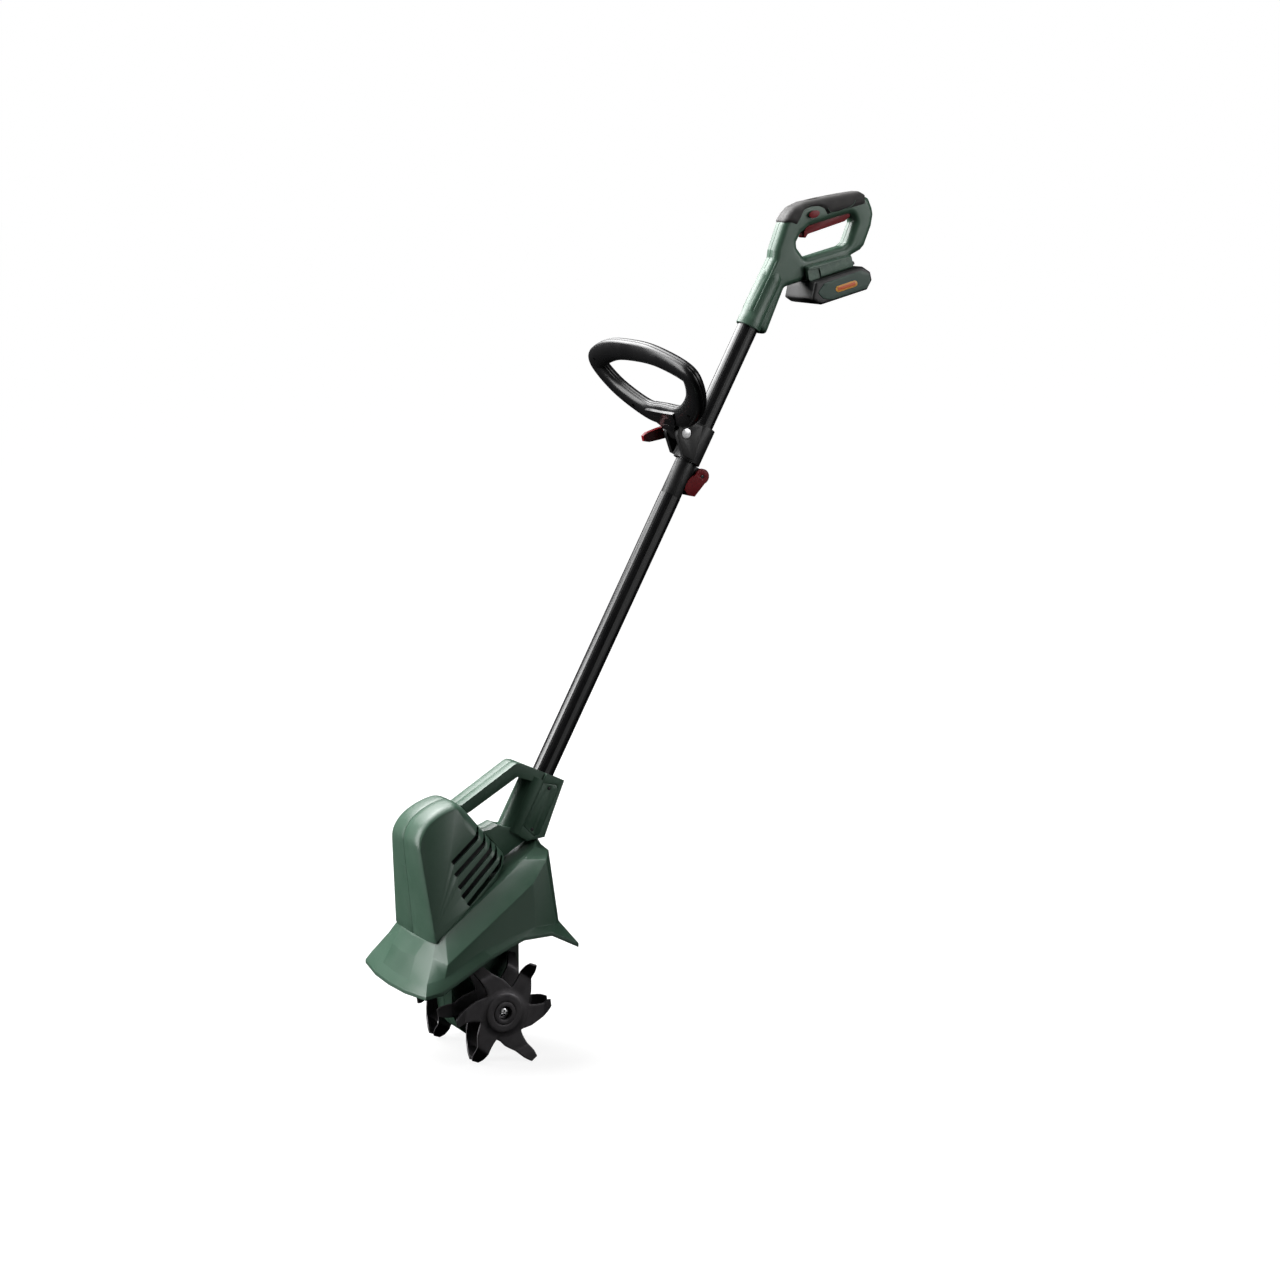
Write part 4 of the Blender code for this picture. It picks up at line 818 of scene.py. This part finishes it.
def housing_half(word, side):
    """Half of the motor cover, with its cooling slots."""
    line = [(p.x, p.y, 0.0) for p in (Vector(q) for q in HOUSING_LINE)]
    tags = []
    dense = []
    steps = 6
    for i, p in enumerate(smooth_line(HOUSING_LINE[1:], steps, closed=False)):
        dense.append(p)
        share = i / steps
        tags.append(min(max((share - 5.0) / 2.0, 0.0), 1.0))
    front = [Vector(HOUSING_LINE[0]).lerp(Vector(HOUSING_LINE[1]), k / 6) for k in range(6)]
    dense = front + dense
    tags = [0.0] * 6 + tags
    bm = bmesh.new()
    rows = []
    for share, front_inset, slope_inset in HOUSING_SECTIONS:
        row = []
        for p, tag in zip(dense, tags):
            blend = tag * tag * (3 - 2 * tag)
            shrink = 1.0 - (front_inset * (1 - blend) + slope_inset * blend) / 0.075
            if share == 0.0:
                shrink = 1.0 - 0.0005 / 0.075
            y = HOUSING_MIDDLE[0] + (p.x - HOUSING_MIDDLE[0]) * shrink
            z = HOUSING_MIDDLE[1] + (p.y - HOUSING_MIDDLE[1]) * shrink
            row.append(bm.verts.new((side * max(share * housing_half_width(z), GAP / 2), y, z)))
        rows.append(row)
    for first, second in zip(rows, rows[1:]):
        for i in range(len(first) - 1):
            bm.faces.new((first[i], first[i + 1], second[i + 1], second[i]))
    bm.faces.new(rows[-1])
    half = make_object(f"motor_cover_{word}", bm, GREEN)
    flat = max(half.data.polygons, key=lambda face: face.area)
    solid = half.modifiers.new("wall", "SOLIDIFY")
    solid.thickness = 0.0025
    solid.offset = -1.0 if side * flat.normal.x > 0 else 1.0
    cutters = [prism([(-0.20, -0.05), (-0.20, deck(-0.20) + GAP), (0.12, deck(0.12) + GAP), (0.12, -0.05)], -0.15, 0.15)]
    for start, end in VENTS:
        start, end = Vector(start), Vector(end)
        run = (end - start).normalized()
        across = Vector((-run.y, run.x)) * VENT_HALF_HEIGHT
        tip = end + Vector((0.0062, 0.0125))
        slot = [start - across, end - across, tip + Vector((0.0012, -0.0008)), tip - Vector((0.0012, -0.0008))]
        slot = rounded([*slot, end + across, start + across], 0.0012, 3)
        cutters.append(prism([tuple(p) for p in slot], side * 0.022, side * 0.090))
    cut(half, cutters)
    ease(half, 0.0007, 2, 38.0, 32.0)
    keep(half, "head", "green_plastic", f"motor_housing_{word}")


def build_housing():
    for side, word in ((1, "left"), (-1, "right")):
        housing_half(word, side)
    # Dark sheets that close the slots from inside: painted shade standing in for the housing's dark interior.
    for side, word in ((1, "left"), (-1, "right")):
        sheet = [(-0.070, 0.288), (-0.026, 0.322), (0.010, 0.286), (0.014, 0.262), (-0.046, 0.208)]
        bm = prism(sheet, side * 0.034, side * 0.037)
        shade_sheet = make_object(f"vent_screen_{word}", bm, BLACK)
        ease(shade_sheet, 0.0006, 2)
        keep(shade_sheet, "head", "black_plastic")


# Carry bar, gear case and pole fittings -------------------------------------------------------

# CAD nodes that only need their edges rounded: name, material, body, slot, radius, steps.
EASED = {
    "carry_frame_left": ("carry_bar_left", GREEN, "head", "green_plastic", 0.0022, 3),
    "carry_frame_right": ("carry_bar_right", GREEN, "head", "green_plastic", 0.0022, 3),
    "socket_cover": ("socket_plate", GREEN, "head", "green_plastic", 0.0006, 2),
    "cover_screw_upper": ("cover_bolt_upper", BLACK, "head", "bright_steel", 0.0003, 2),
    "cover_screw_lower": ("cover_bolt_lower", BLACK, "head", "bright_steel", 0.0003, 2),
    "gear_case_left": ("gearbox_left", GREEN, "head", "green_plastic", 0.0012, 3),
    "gear_case_right": ("gearbox_right", GREEN, "head", "green_plastic", 0.0012, 3),
    "lock_collar": ("clamp_collar", BLACK, "head", "black_plastic", 0.0007, 3),
    "lock_lever": ("clamp_lever", RED, "cam_lever", "red_plastic", 0.0013, 3),
    "lock_lever_pin": ("clamp_pin", BLACK, "head", "bright_steel", 0.0003, 2),
    "bracket_left": ("hinge_clamp_left", BLACK, "upper_pole", "black_plastic", 0.0010, 3),
    "bracket_right": ("hinge_clamp_right", BLACK, "upper_pole", "black_plastic", 0.0010, 3),
    "hinge_bolt": ("pivot_bolt", STEEL, "upper_pole", "bright_steel", 0.0007, 3),
    "loop_lever": ("release_lever", RED, "quick_release", "red_plastic", 0.0016, 3),
    "loop_lever_pin": ("release_pin", STEEL, "quick_release", "bright_steel", 0.0003, 2),
    "trigger": ("trigger_blade", RED, "trigger_body", "red_plastic", 0.0014, 3),
    "lock_button": ("safety_button", RED, "lock_off", "red_plastic", 0.0009, 3),
    "battery_button": ("battery_catch", BLACK, "release_button", "black_plastic", 0.0009, 3),
}


def build_eased():
    bodies = {}
    for body, members in frame["record"]["behaviour"]["bodies"].items():
        for node in members:
            bodies[node] = body
    for node, (name, material, _, slot, width, steps) in EASED.items():
        keep(eased_copy(node, name, material, width, steps), bodies[node], slot, node)


# Loop handle ----------------------------------------------------------------------------------

LOOP_TILT = math.radians(58)
LOOP_UP = Vector((0.0, -math.cos(LOOP_TILT), math.sin(LOOP_TILT)))
LOOP_BACK = Vector((0.0, math.sin(LOOP_TILT), math.cos(LOOP_TILT)))
LOOP_BASE = Vector((0.0, 0.3021, 0.8663))
LOOP_HALF = [
    (0.0, 0.0040),
    (0.0515, 0.0055),
    (0.1085, 0.0355),
    (0.1340, 0.0700),
    (0.1246, 0.0880),
    (0.0630, 0.1065),
    (0.0, 0.1105),
]
LOOP_HALF_WIDE = 0.0165
LOOP_HALF_THICK = 0.0112
LOOP_PIVOT = Vector((0.0, 0.3180, 0.8430))
# Where the screws that join the halves sit, in the loop's own plane.
LOOP_SCREWS = [(-0.1176, 0.0915), (0.0826, 0.0926), (-0.0745, 0.0170), (0.0844, 0.0152), (-0.0157, -0.0060)]


def on_loop(x, up, back):
    return LOOP_BASE + X_AXIS * x + LOOP_UP * up + LOOP_BACK * back


def loop_half(name, node, side, material):
    """Half of the padded loop, split along its own plane, with a fine seam between the halves."""
    nodes = LOOP_HALF + [(-x, s) for x, s in reversed(LOOP_HALF[1:-1])]
    path = [on_loop(p.x, p.y, 0.0) for p in smooth_line(nodes, 12)]
    steps = 16
    thick = LOOP_HALF_THICK if side > 0 else LOOP_HALF_THICK - 0.0012
    section = []
    for i in range(steps + 1):
        angle = math.pi * i / steps
        wide = LOOP_HALF_WIDE * math.copysign(abs(math.cos(angle)) ** 0.92, math.cos(angle))
        section.append((wide, side * (0.0008 + (thick - 0.0008) * math.sin(angle) ** 0.92)))
    edge = LOOP_HALF_WIDE - 0.0005
    section = [(edge, side * GAP / 2), *section, (-edge, side * GAP / 2)]
    bm = bmesh.new()
    rings = []
    count = len(path)
    for i in range(count):
        tangent = (path[(i + 1) % count] - path[i - 1]).normalized()
        outwards = tangent.cross(LOOP_BACK).normalized()
        rings.append([bm.verts.new(path[i] + outwards * a + LOOP_BACK * b) for a, b in section])
    for i in range(count):
        first, second = rings[i], rings[(i + 1) % count]
        for k in range(len(section)):
            m = (k + 1) % len(section)
            bm.faces.new((first[k], first[m], second[m], second[k]))
    half = make_object(name, bm, material)
    shade(half, 50.0)
    return half


def build_loop():
    upper = loop_half("loop_shell_upper", "loop_handle_upper", 1, GLOSSY)
    keep(upper, "loop_grip", "black_plastic", "loop_handle_upper")
    lower = loop_half("loop_shell_lower", "loop_handle_lower", -1, GLOSSY)
    wells = []
    for x, up in LOOP_SCREWS[:4]:
        wells.append(rod(0.0031, on_loop(x, up, -0.0060), on_loop(x, up, -0.0200), 20))
    cut(lower, wells)
    shade(lower, 50.0)
    keep(lower, "loop_grip", "black_plastic", "loop_handle_lower")
    for i, (x, up) in enumerate(LOOP_SCREWS[:4]):
        head = turned([(0, 0), (0.0026, 0), (0.0024, 0.0012), (0, 0.0016)], on_loop(x, up, -0.0062), -LOOP_BACK, 20)
        screw = make_object(f"loop_screw_{i}", head, STEEL)
        shade(screw)
        keep(screw, "loop_grip", "bright_steel")
    build_saddle()


def build_saddle():
    """The stiffened middle of the cross bar, which narrows into the neck about the hinge bolt."""
    bm = bmesh.new()
    stations = [
        (0.0150, 0.0400, 0.0100, -0.0124),
        (0.0040, 0.0360, 0.0119, -0.0116),
        (-0.0070, 0.0240, 0.0112, -0.0116),
        (-0.0130, 0.0150, 0.0098, -0.0114),
        (-0.0152, 0.0114, 0.0092, -0.0112),
    ]
    rings = []
    for up, half, high, low in stations:
        corners = ((half, high), (half, low), (-half, low), (-half, high))
        rings.append([bm.verts.new(on_loop(x, up, back)) for x, back in corners])
    for first, second in zip(rings, rings[1:]):
        for i in range(4):
            j = (i + 1) % 4
            bm.faces.new((first[i], first[j], second[j], second[i]))
    bm.faces.new(rings[0])
    bm.faces.new(rings[-1])
    saddle = make_object("loop_saddle", bm, GLOSSY)
    recess = bmesh.new()
    for x, up, back in ((a, b, c) for a in (-0.022, 0.022) for b in (0.0080, -0.0040) for c in (-0.0118, -0.0180)):
        recess.verts.new(on_loop(x, up, back))
    bmesh.ops.convex_hull(recess, input=recess.verts)
    cut(saddle, [recess])
    ease(saddle, 0.0016, 3, 25.0)
    keep(saddle, "loop_grip", "black_plastic", "loop_handle_lower")
    pivot = LOOP_PIVOT
    outline = []
    for i in range(25):
        angle = math.radians(40 - 200 * i / 24)
        outline.append((pivot.y + 0.0115 * math.cos(angle), pivot.z + 0.0115 * math.sin(angle)))
    top = [on_loop(0, -0.0150, -0.0112), on_loop(0, -0.0060, -0.0120), on_loop(0, -0.0060, 0.0100), on_loop(0, -0.0150, 0.0085)]
    outline += [(p.y, p.z) for p in top]
    neck = make_object("loop_neck", prism(outline, -0.0115, 0.0115), GLOSSY)
    cut(neck, [rod(0.0045, pivot - X_AXIS * 0.02, pivot + X_AXIS * 0.02, 24)])
    ease(neck, 0.0008, 2)
    keep(neck, "loop_grip", "black_plastic", "loop_handle_lower")


# D handle -------------------------------------------------------------------------------------

GRIP_TOP = [
    (0.4755, 1.1310),
    (0.4845, 1.1435),
    (0.4930, 1.1520),
    (0.5100, 1.1590),
    (0.5430, 1.1650),
    (0.5760, 1.1700),
    (0.6010, 1.1730),
    (0.6110, 1.1680),
]
COVER_THICK = 0.0022
BOSS_FRONT = [(0.4501, 0.9737), (0.4167, 0.9916), (0.4242, 1.0153), (0.4615, 1.0817), (0.4628, 1.0925)]
BACK_LEG = [(0.6175, 1.1630), (0.6240, 1.1490), (0.6258, 1.1400), (0.6230, 1.1240), (0.6115, 1.0965), (0.6050, 1.0900)]
FOOT = [(0.5900, 1.0830), (0.5820, 1.0680), (0.5060, 1.0470), (0.4800, 1.0405), (0.4720, 1.0230)]
HAND_HOLE = [
    (0.5890, 1.1420),
    (0.5940, 1.1300),
    (0.5820, 1.1010),
    (0.5750, 1.0960),
    (0.5520, 1.0905),
    (0.5120, 1.0805),
    (0.5000, 1.0950),
    (0.4990, 1.1030),
    (0.5060, 1.1150),
    (0.5190, 1.1250),
    (0.5640, 1.1365),
]
SKIRT = [
    (0.6125, 1.1530),
    (0.5790, 1.1450),
    (0.5630, 1.1420),
    (0.5450, 1.1380),
    (0.5400, 1.1470),
    (0.5320, 1.1500),
    (0.5200, 1.1500),
    (0.5110, 1.1460),
    (0.5050, 1.1350),
    (0.4985, 1.1245),
]
PINSTRIPE = [
    (0.5459, 1.1505),
    (0.5493, 1.1450),
    (0.5559, 1.1440),
    (0.5625, 1.1445),
    (0.5724, 1.1478),
    (0.5823, 1.1511),
    (0.5889, 1.1556),
    (0.5913, 1.1607),
]
BOSS_RIDGE = [(0.4640, 1.0775), (0.4590, 1.0680), (0.4450, 1.0420), (0.4330, 1.0200), (0.4262, 1.0075)]
BATTERY_TILT = math.radians(14.3)
BATTERY_ALONG = Vector((0.0, math.cos(BATTERY_TILT), math.sin(BATTERY_TILT)))
BATTERY_UP = Vector((0.0, -math.sin(BATTERY_TILT), math.cos(BATTERY_TILT)))
BATTERY_CENTRE = Vector((0.0, 0.5600, 1.0425))
BATTERY_TOP = 0.0170


def in_battery(x, along, up):
    return BATTERY_CENTRE + X_AXIS * x + BATTERY_ALONG * along + BATTERY_UP * up


def battery_yz(along, up):
    p = in_battery(0, along, up)
    return (p.y, p.z)


def yz(*points):
    return [(p.y, p.z) for p in points]


def bead(points, radius, x, name, material, sides=8):
    """A thin round line lying along points seen from the side."""
    line = [Vector((x, y, z)) for y, z in (tuple(p) for p in smooth_line(points, 5, closed=False))]
    bm = bmesh.new()
    rings = []
    for i, p in enumerate(line):
        run = (line[min(i + 1, len(line) - 1)] - line[max(i - 1, 0)]).normalized()
        side = run.cross(X_AXIS).normalized()
        size = radius * (0.4 if i in (0, len(line) - 1) else 1.0)
        ring = []
        for k in range(sides):
            angle = 2 * math.pi * k / sides
            ring.append(bm.verts.new(p + (side * math.cos(angle) + X_AXIS * math.sin(angle)) * size))
        rings.append(ring)
    for first, second in zip(rings, rings[1:]):
        for k in range(sides):
            m = (k + 1) % sides
            bm.faces.new((first[k], first[m], second[m], second[k]))
    bm.faces.new(rings[0])
    bm.faces.new(rings[-1])
    obj = make_object(name, bm, material)
    shade(obj, 60.0)
    return obj


def build_handle():
    lowered = [(y + 0.0007, z - 0.0025) for y, z in GRIP_TOP]
    outline = rounded([*BOSS_FRONT, *lowered, *BACK_LEG, *FOOT], 0.007)
    hole = rounded(HAND_HOLE, 0.006)
    dock = [battery_yz(0.031, BATTERY_TOP + 0.018), battery_yz(0.031, BATTERY_TOP + GAP)]
    dock += [battery_yz(-0.044, BATTERY_TOP + GAP), battery_yz(-0.044, BATTERY_TOP + 0.022)]
    for side, word in ((1, "left"), (-1, "right")):
        shell = pillow(f"handle_shell_{word}", outline, 0.0150, 0.0088, GREEN, side, [hole], fine=0.003)
        cut(shell, [rod(0.0150, on_pole(0.66), on_pole(0.7603), 40)])
        keep(shell, "upper_pole", "green_plastic", f"handle_{word}")
        shoe = pillow(f"battery_dock_{word}", rounded(dock, 0.0035), 0.0260, 0.0028, GREEN, side)
        recess = [battery_yz(-0.0450, BATTERY_TOP - 0.002), battery_yz(-0.0250, BATTERY_TOP - 0.002)]
        recess += [battery_yz(-0.0250, BATTERY_TOP + 0.0145), battery_yz(-0.0450, BATTERY_TOP + 0.0160)]
        step = [battery_yz(-0.0440, BATTERY_TOP + 0.0160), battery_yz(0.040, BATTERY_TOP + 0.0140)]
        step += [battery_yz(0.040, BATTERY_TOP + 0.0150), battery_yz(-0.0440, BATTERY_TOP + 0.0170)]
        cutters = [prism(recess, side * 0.0240, side * 0.03), prism(step, side * 0.0252, side * 0.03)]
        cut(shoe, cutters)
        ease(shoe, 0.0004, 2, 40.0)
        keep(shoe, "upper_pole", "green_plastic", f"handle_{word}")
        ridge = bead(BOSS_RIDGE, 0.0007, side * 0.0156, f"boss_line_{word}", GREEN)
        keep(ridge, "upper_pole", "green_plastic")
        stripe = bead(PINSTRIPE, 0.00055, side * 0.01745, f"grip_line_{word}", GREEN)
        keep(stripe, "upper_pole", "green_plastic")
    sleeve = [
        (0.0150, 0),
        (0.0176, 0),
        (0.0182, 0.0008),
        (0.0182, 0.0120),
        (0.0178, 0.0128),
        (0.0178, 0.0740),
        (0.0172, 0.0790),
        (0.0150, 0.0850),
    ]
    sleeve = make_object("handle_sleeve", turned(sleeve, on_pole(0.6915), POLE_DIR, 56), GREEN)
    shade(sleeve, 32.0)
    keep(sleeve, "upper_pole", "green_plastic", "handle_left", "handle_right")
    cover = pillow("grip_overmould", rounded([*GRIP_TOP, *SKIRT], 0.0035), 0.0175, 0.0095, RUBBER, both=True, fine=0.003)
    keep(cover, "upper_pole", "soft_grip", "grip_cover")


# Battery --------------------------------------------------------------------------------------


BATTERY_SIDE = [
    (-0.0545, -0.0055),
    (-0.0465, -0.0140),
    (-0.0400, -0.0170),
    (0.0375, -0.0170),
    (0.0485, -0.0060),
    (0.0485, 0.0060),
    (0.0375, 0.0170),
    (-0.0430, 0.0170),
    (-0.0470, 0.0095),
]


SIDE_PLATE = [
    (-0.0435, 0.0015),
    (-0.0300, 0.0115),
    (0.0330, 0.0125),
    (0.0450, 0.0040),
    (0.0440, -0.0075),
    (0.0350, -0.0145),
    (-0.0230, -0.0145),
    (-0.0370, -0.0090),
]


def capsule(centre, length, radius, steps=10):
    points = []
    for end, start in ((1, -90), (-1, 90)):
        for i in range(steps + 1):
            angle = math.radians(start + 180 * i / steps)
            points.append((centre[0] + end * (length / 2 - radius) + radius * math.cos(angle), centre[1] + radius * math.sin(angle)))
    return points


def build_battery():
    body = pillow("battery_shell", rounded(BATTERY_SIDE, 0.003), 0.0390, 0.0042, BLACK, both=True, place=in_battery, fine=0.003)
    pocket = [battery_yz(0.0330, 0.0130), battery_yz(0.0425, 0.0130), battery_yz(0.0425, 0.0300), battery_yz(0.0330, 0.0300)]
    cut(body, [prism(pocket, -0.0105, 0.0105)])
    ease(body, 0.0003, 2, 50.0)
    keep(body, "battery", "black_plastic", "battery_case")
    for low, high, half, name in ((0.0150, 0.0218, 0.0155, "battery_rail"), (0.0210, 0.0240, 0.0185, "battery_rail_head")):
        corners = [battery_yz(-0.0225, low), battery_yz(0.0328, low), battery_yz(0.0328, high), battery_yz(-0.0225, high)]
        piece = make_object(name, prism(corners, -half, half), BLACK)
        ease(piece, 0.0005, 2)
        keep(piece, "battery", "black_plastic", "battery_case")
    for side, word in ((1, "left"), (-1, "right")):
        plate = rounded(SIDE_PLATE, 0.0025)
        label = pillow(f"side_plate_{word}", plate, 0.0396, 0.0008, GREEN_DARK, side, base=0.0360, place=in_battery)
        keep(label, "battery", "green_plastic")
        outer = capsule((0.0040, -0.0025), 0.0370, 0.0046)
        frame_ring = pillow(f"gauge_rim_{word}", outer, 0.0399, 0.0005, AMBER, side, base=0.0380, place=in_battery, fine=0.002)
        keep(frame_ring, "battery", "red_plastic")
        inner = capsule((0.0040, -0.0025), 0.0310, 0.0026)
        window = pillow(f"gauge_window_{word}", inner, 0.0401, 0.0004, ORANGE, side, base=0.0380, place=in_battery, fine=0.002)
        keep(window, "battery", "red_plastic")


# Camera, floor and light ----------------------------------------------------------------------


def add_area(name, location, target, size, power, size_y=None, colour=(1, 1, 1)):
    lamp = bpy.data.lights.new(name, "AREA")
    lamp.shape = "RECTANGLE"
    lamp.size = size
    lamp.size_y = size_y or size
    lamp.energy = power
    lamp.color = colour
    obj = bpy.data.objects.new(name, lamp)
    obj.location = location
    aim = Vector(target) - Vector(location)
    obj.rotation_euler = aim.to_track_quat("-Z", "Y").to_euler()
    bpy.context.scene.collection.objects.link(obj)
    return obj


def build_studio():
    scene = bpy.context.scene
    azimuth, elevation = math.radians(62), math.radians(10)
    right = Vector((math.cos(azimuth), math.sin(azimuth), 0))
    back = Vector((math.sin(azimuth) * math.cos(elevation), -math.cos(azimuth) * math.cos(elevation), math.sin(elevation)))
    up = back.cross(right)
    data = bpy.data.cameras.new("camera")
    data.sensor_width = 36.0
    data.lens = 84.375
    data.clip_end = 50.0
    camera = bpy.data.objects.new("camera", data)
    turn = Matrix((right, up, back)).transposed().to_4x4()
    camera.matrix_world = Matrix.Translation(Vector((3.6608, -1.6911, 1.2847)) + SHIFT) @ turn
    scene.collection.objects.link(camera)
    scene.camera = camera

    bm = bmesh.new()
    corners = [bm.verts.new((x, y, -0.0002)) for x, y in ((-30, -30), (30, -30), (30, 30), (-30, 30))]
    bm.faces.new(corners)
    mesh = bpy.data.meshes.new("floor")
    bm.to_mesh(mesh)
    bm.free()
    floor = bpy.data.objects.new("floor", mesh)
    scene.collection.objects.link(floor)
    pale = bpy.data.materials.new("floor")
    pale.use_nodes = True
    shader = pale.node_tree.nodes["Principled BSDF"]
    shader.inputs["Base Color"].default_value = (0.20, 0.20, 0.20, 1.0)
    shader.inputs["Roughness"].default_value = 0.9
    shader.inputs["Specular IOR Level"].default_value = 0.1
    shader.inputs["Emission Color"].default_value = (1.0, 1.0, 1.0, 1.0)
    # The floor glows evenly white far off and a little less under the machine, where its shadow lies.
    place = pale.node_tree.nodes.new("ShaderNodeNewGeometry")
    reach = pale.node_tree.nodes.new("ShaderNodeVectorMath")
    reach.operation = "LENGTH"
    glow = pale.node_tree.nodes.new("ShaderNodeMapRange")
    for socket, value in (("From Min", 0.30), ("From Max", 1.60), ("To Min", 0.84), ("To Max", 1.0)):
        glow.inputs[socket].default_value = value
    pale.node_tree.links.new(place.outputs["Position"], reach.inputs[0])
    pale.node_tree.links.new(reach.outputs["Value"], glow.inputs["Value"])
    pale.node_tree.links.new(glow.outputs["Result"], shader.inputs["Emission Strength"])
    mesh.materials.append(pale)
    floor.visible_diffuse = False
    floor.visible_glossy = False

    world = bpy.data.worlds.new("studio")
    scene.world = world
    world.use_nodes = True
    world.node_tree.nodes["Background"].inputs["Color"].default_value = (1, 1, 1, 1)
    world.node_tree.nodes["Background"].inputs["Strength"].default_value = 1.0
    world.cycles_visibility.diffuse = False
    world.cycles_visibility.glossy = False
    scene.view_settings.view_transform = "Standard"

    target = Vector((0.0, 0.05, 0.55))
    add_area("key", target - right * 2.2 + back * 0.2 + Z_AXIS * 1.6, target, 1.6, 42.0)
    add_area("low_key", target - right * 2.8 + back * 0.2 + Z_AXIS * 0.4, target, 1.6, 74.0, 2.0)
    add_area("top", target + Vector((-1.0, -0.4, 2.2)), target + Z_AXIS * 0.2, 1.8, 66.0)
    add_area("rim", Vector((-2.0, -0.3, 2.0)), target + Z_AXIS * 0.3, 2.2, 42.0, 1.3)
    add_area("near_rim", Vector((-1.1, -0.5, 1.9)), Vector((0, 0.1, 0.9)), 1.0, 20.0)
    add_area("fill", target + right * 2.6 + back * 0.9 + Z_AXIS * 1.0, target, 1.6, 34.0)
    add_area("soft_top", target + right * 0.8 + back * 0.6 + Z_AXIS * 2.3, target, 1.0, 12.0)
    mirror = add_area("reflector", target + Vector((2.6, 1.4, 0.1)), target, 3.4, 14.0, 2.4)
    mirror.visible_diffuse = False


def main():
    slots = {}
    for part in frame["record"]["subparts"]:
        slots[part["node"]] = part["material_slot"]
    for name, obj in frame["nodes"].items():
        material = SLOT_MATERIAL.get(slots.get(name), BLACK)
        obj.data.materials.clear()
        obj.data.materials.append(material)
    build_tines()
    build_hood()
    build_housing()
    build_eased()
    build_loop()
    build_handle()
    build_battery()
    build_studio()


main()
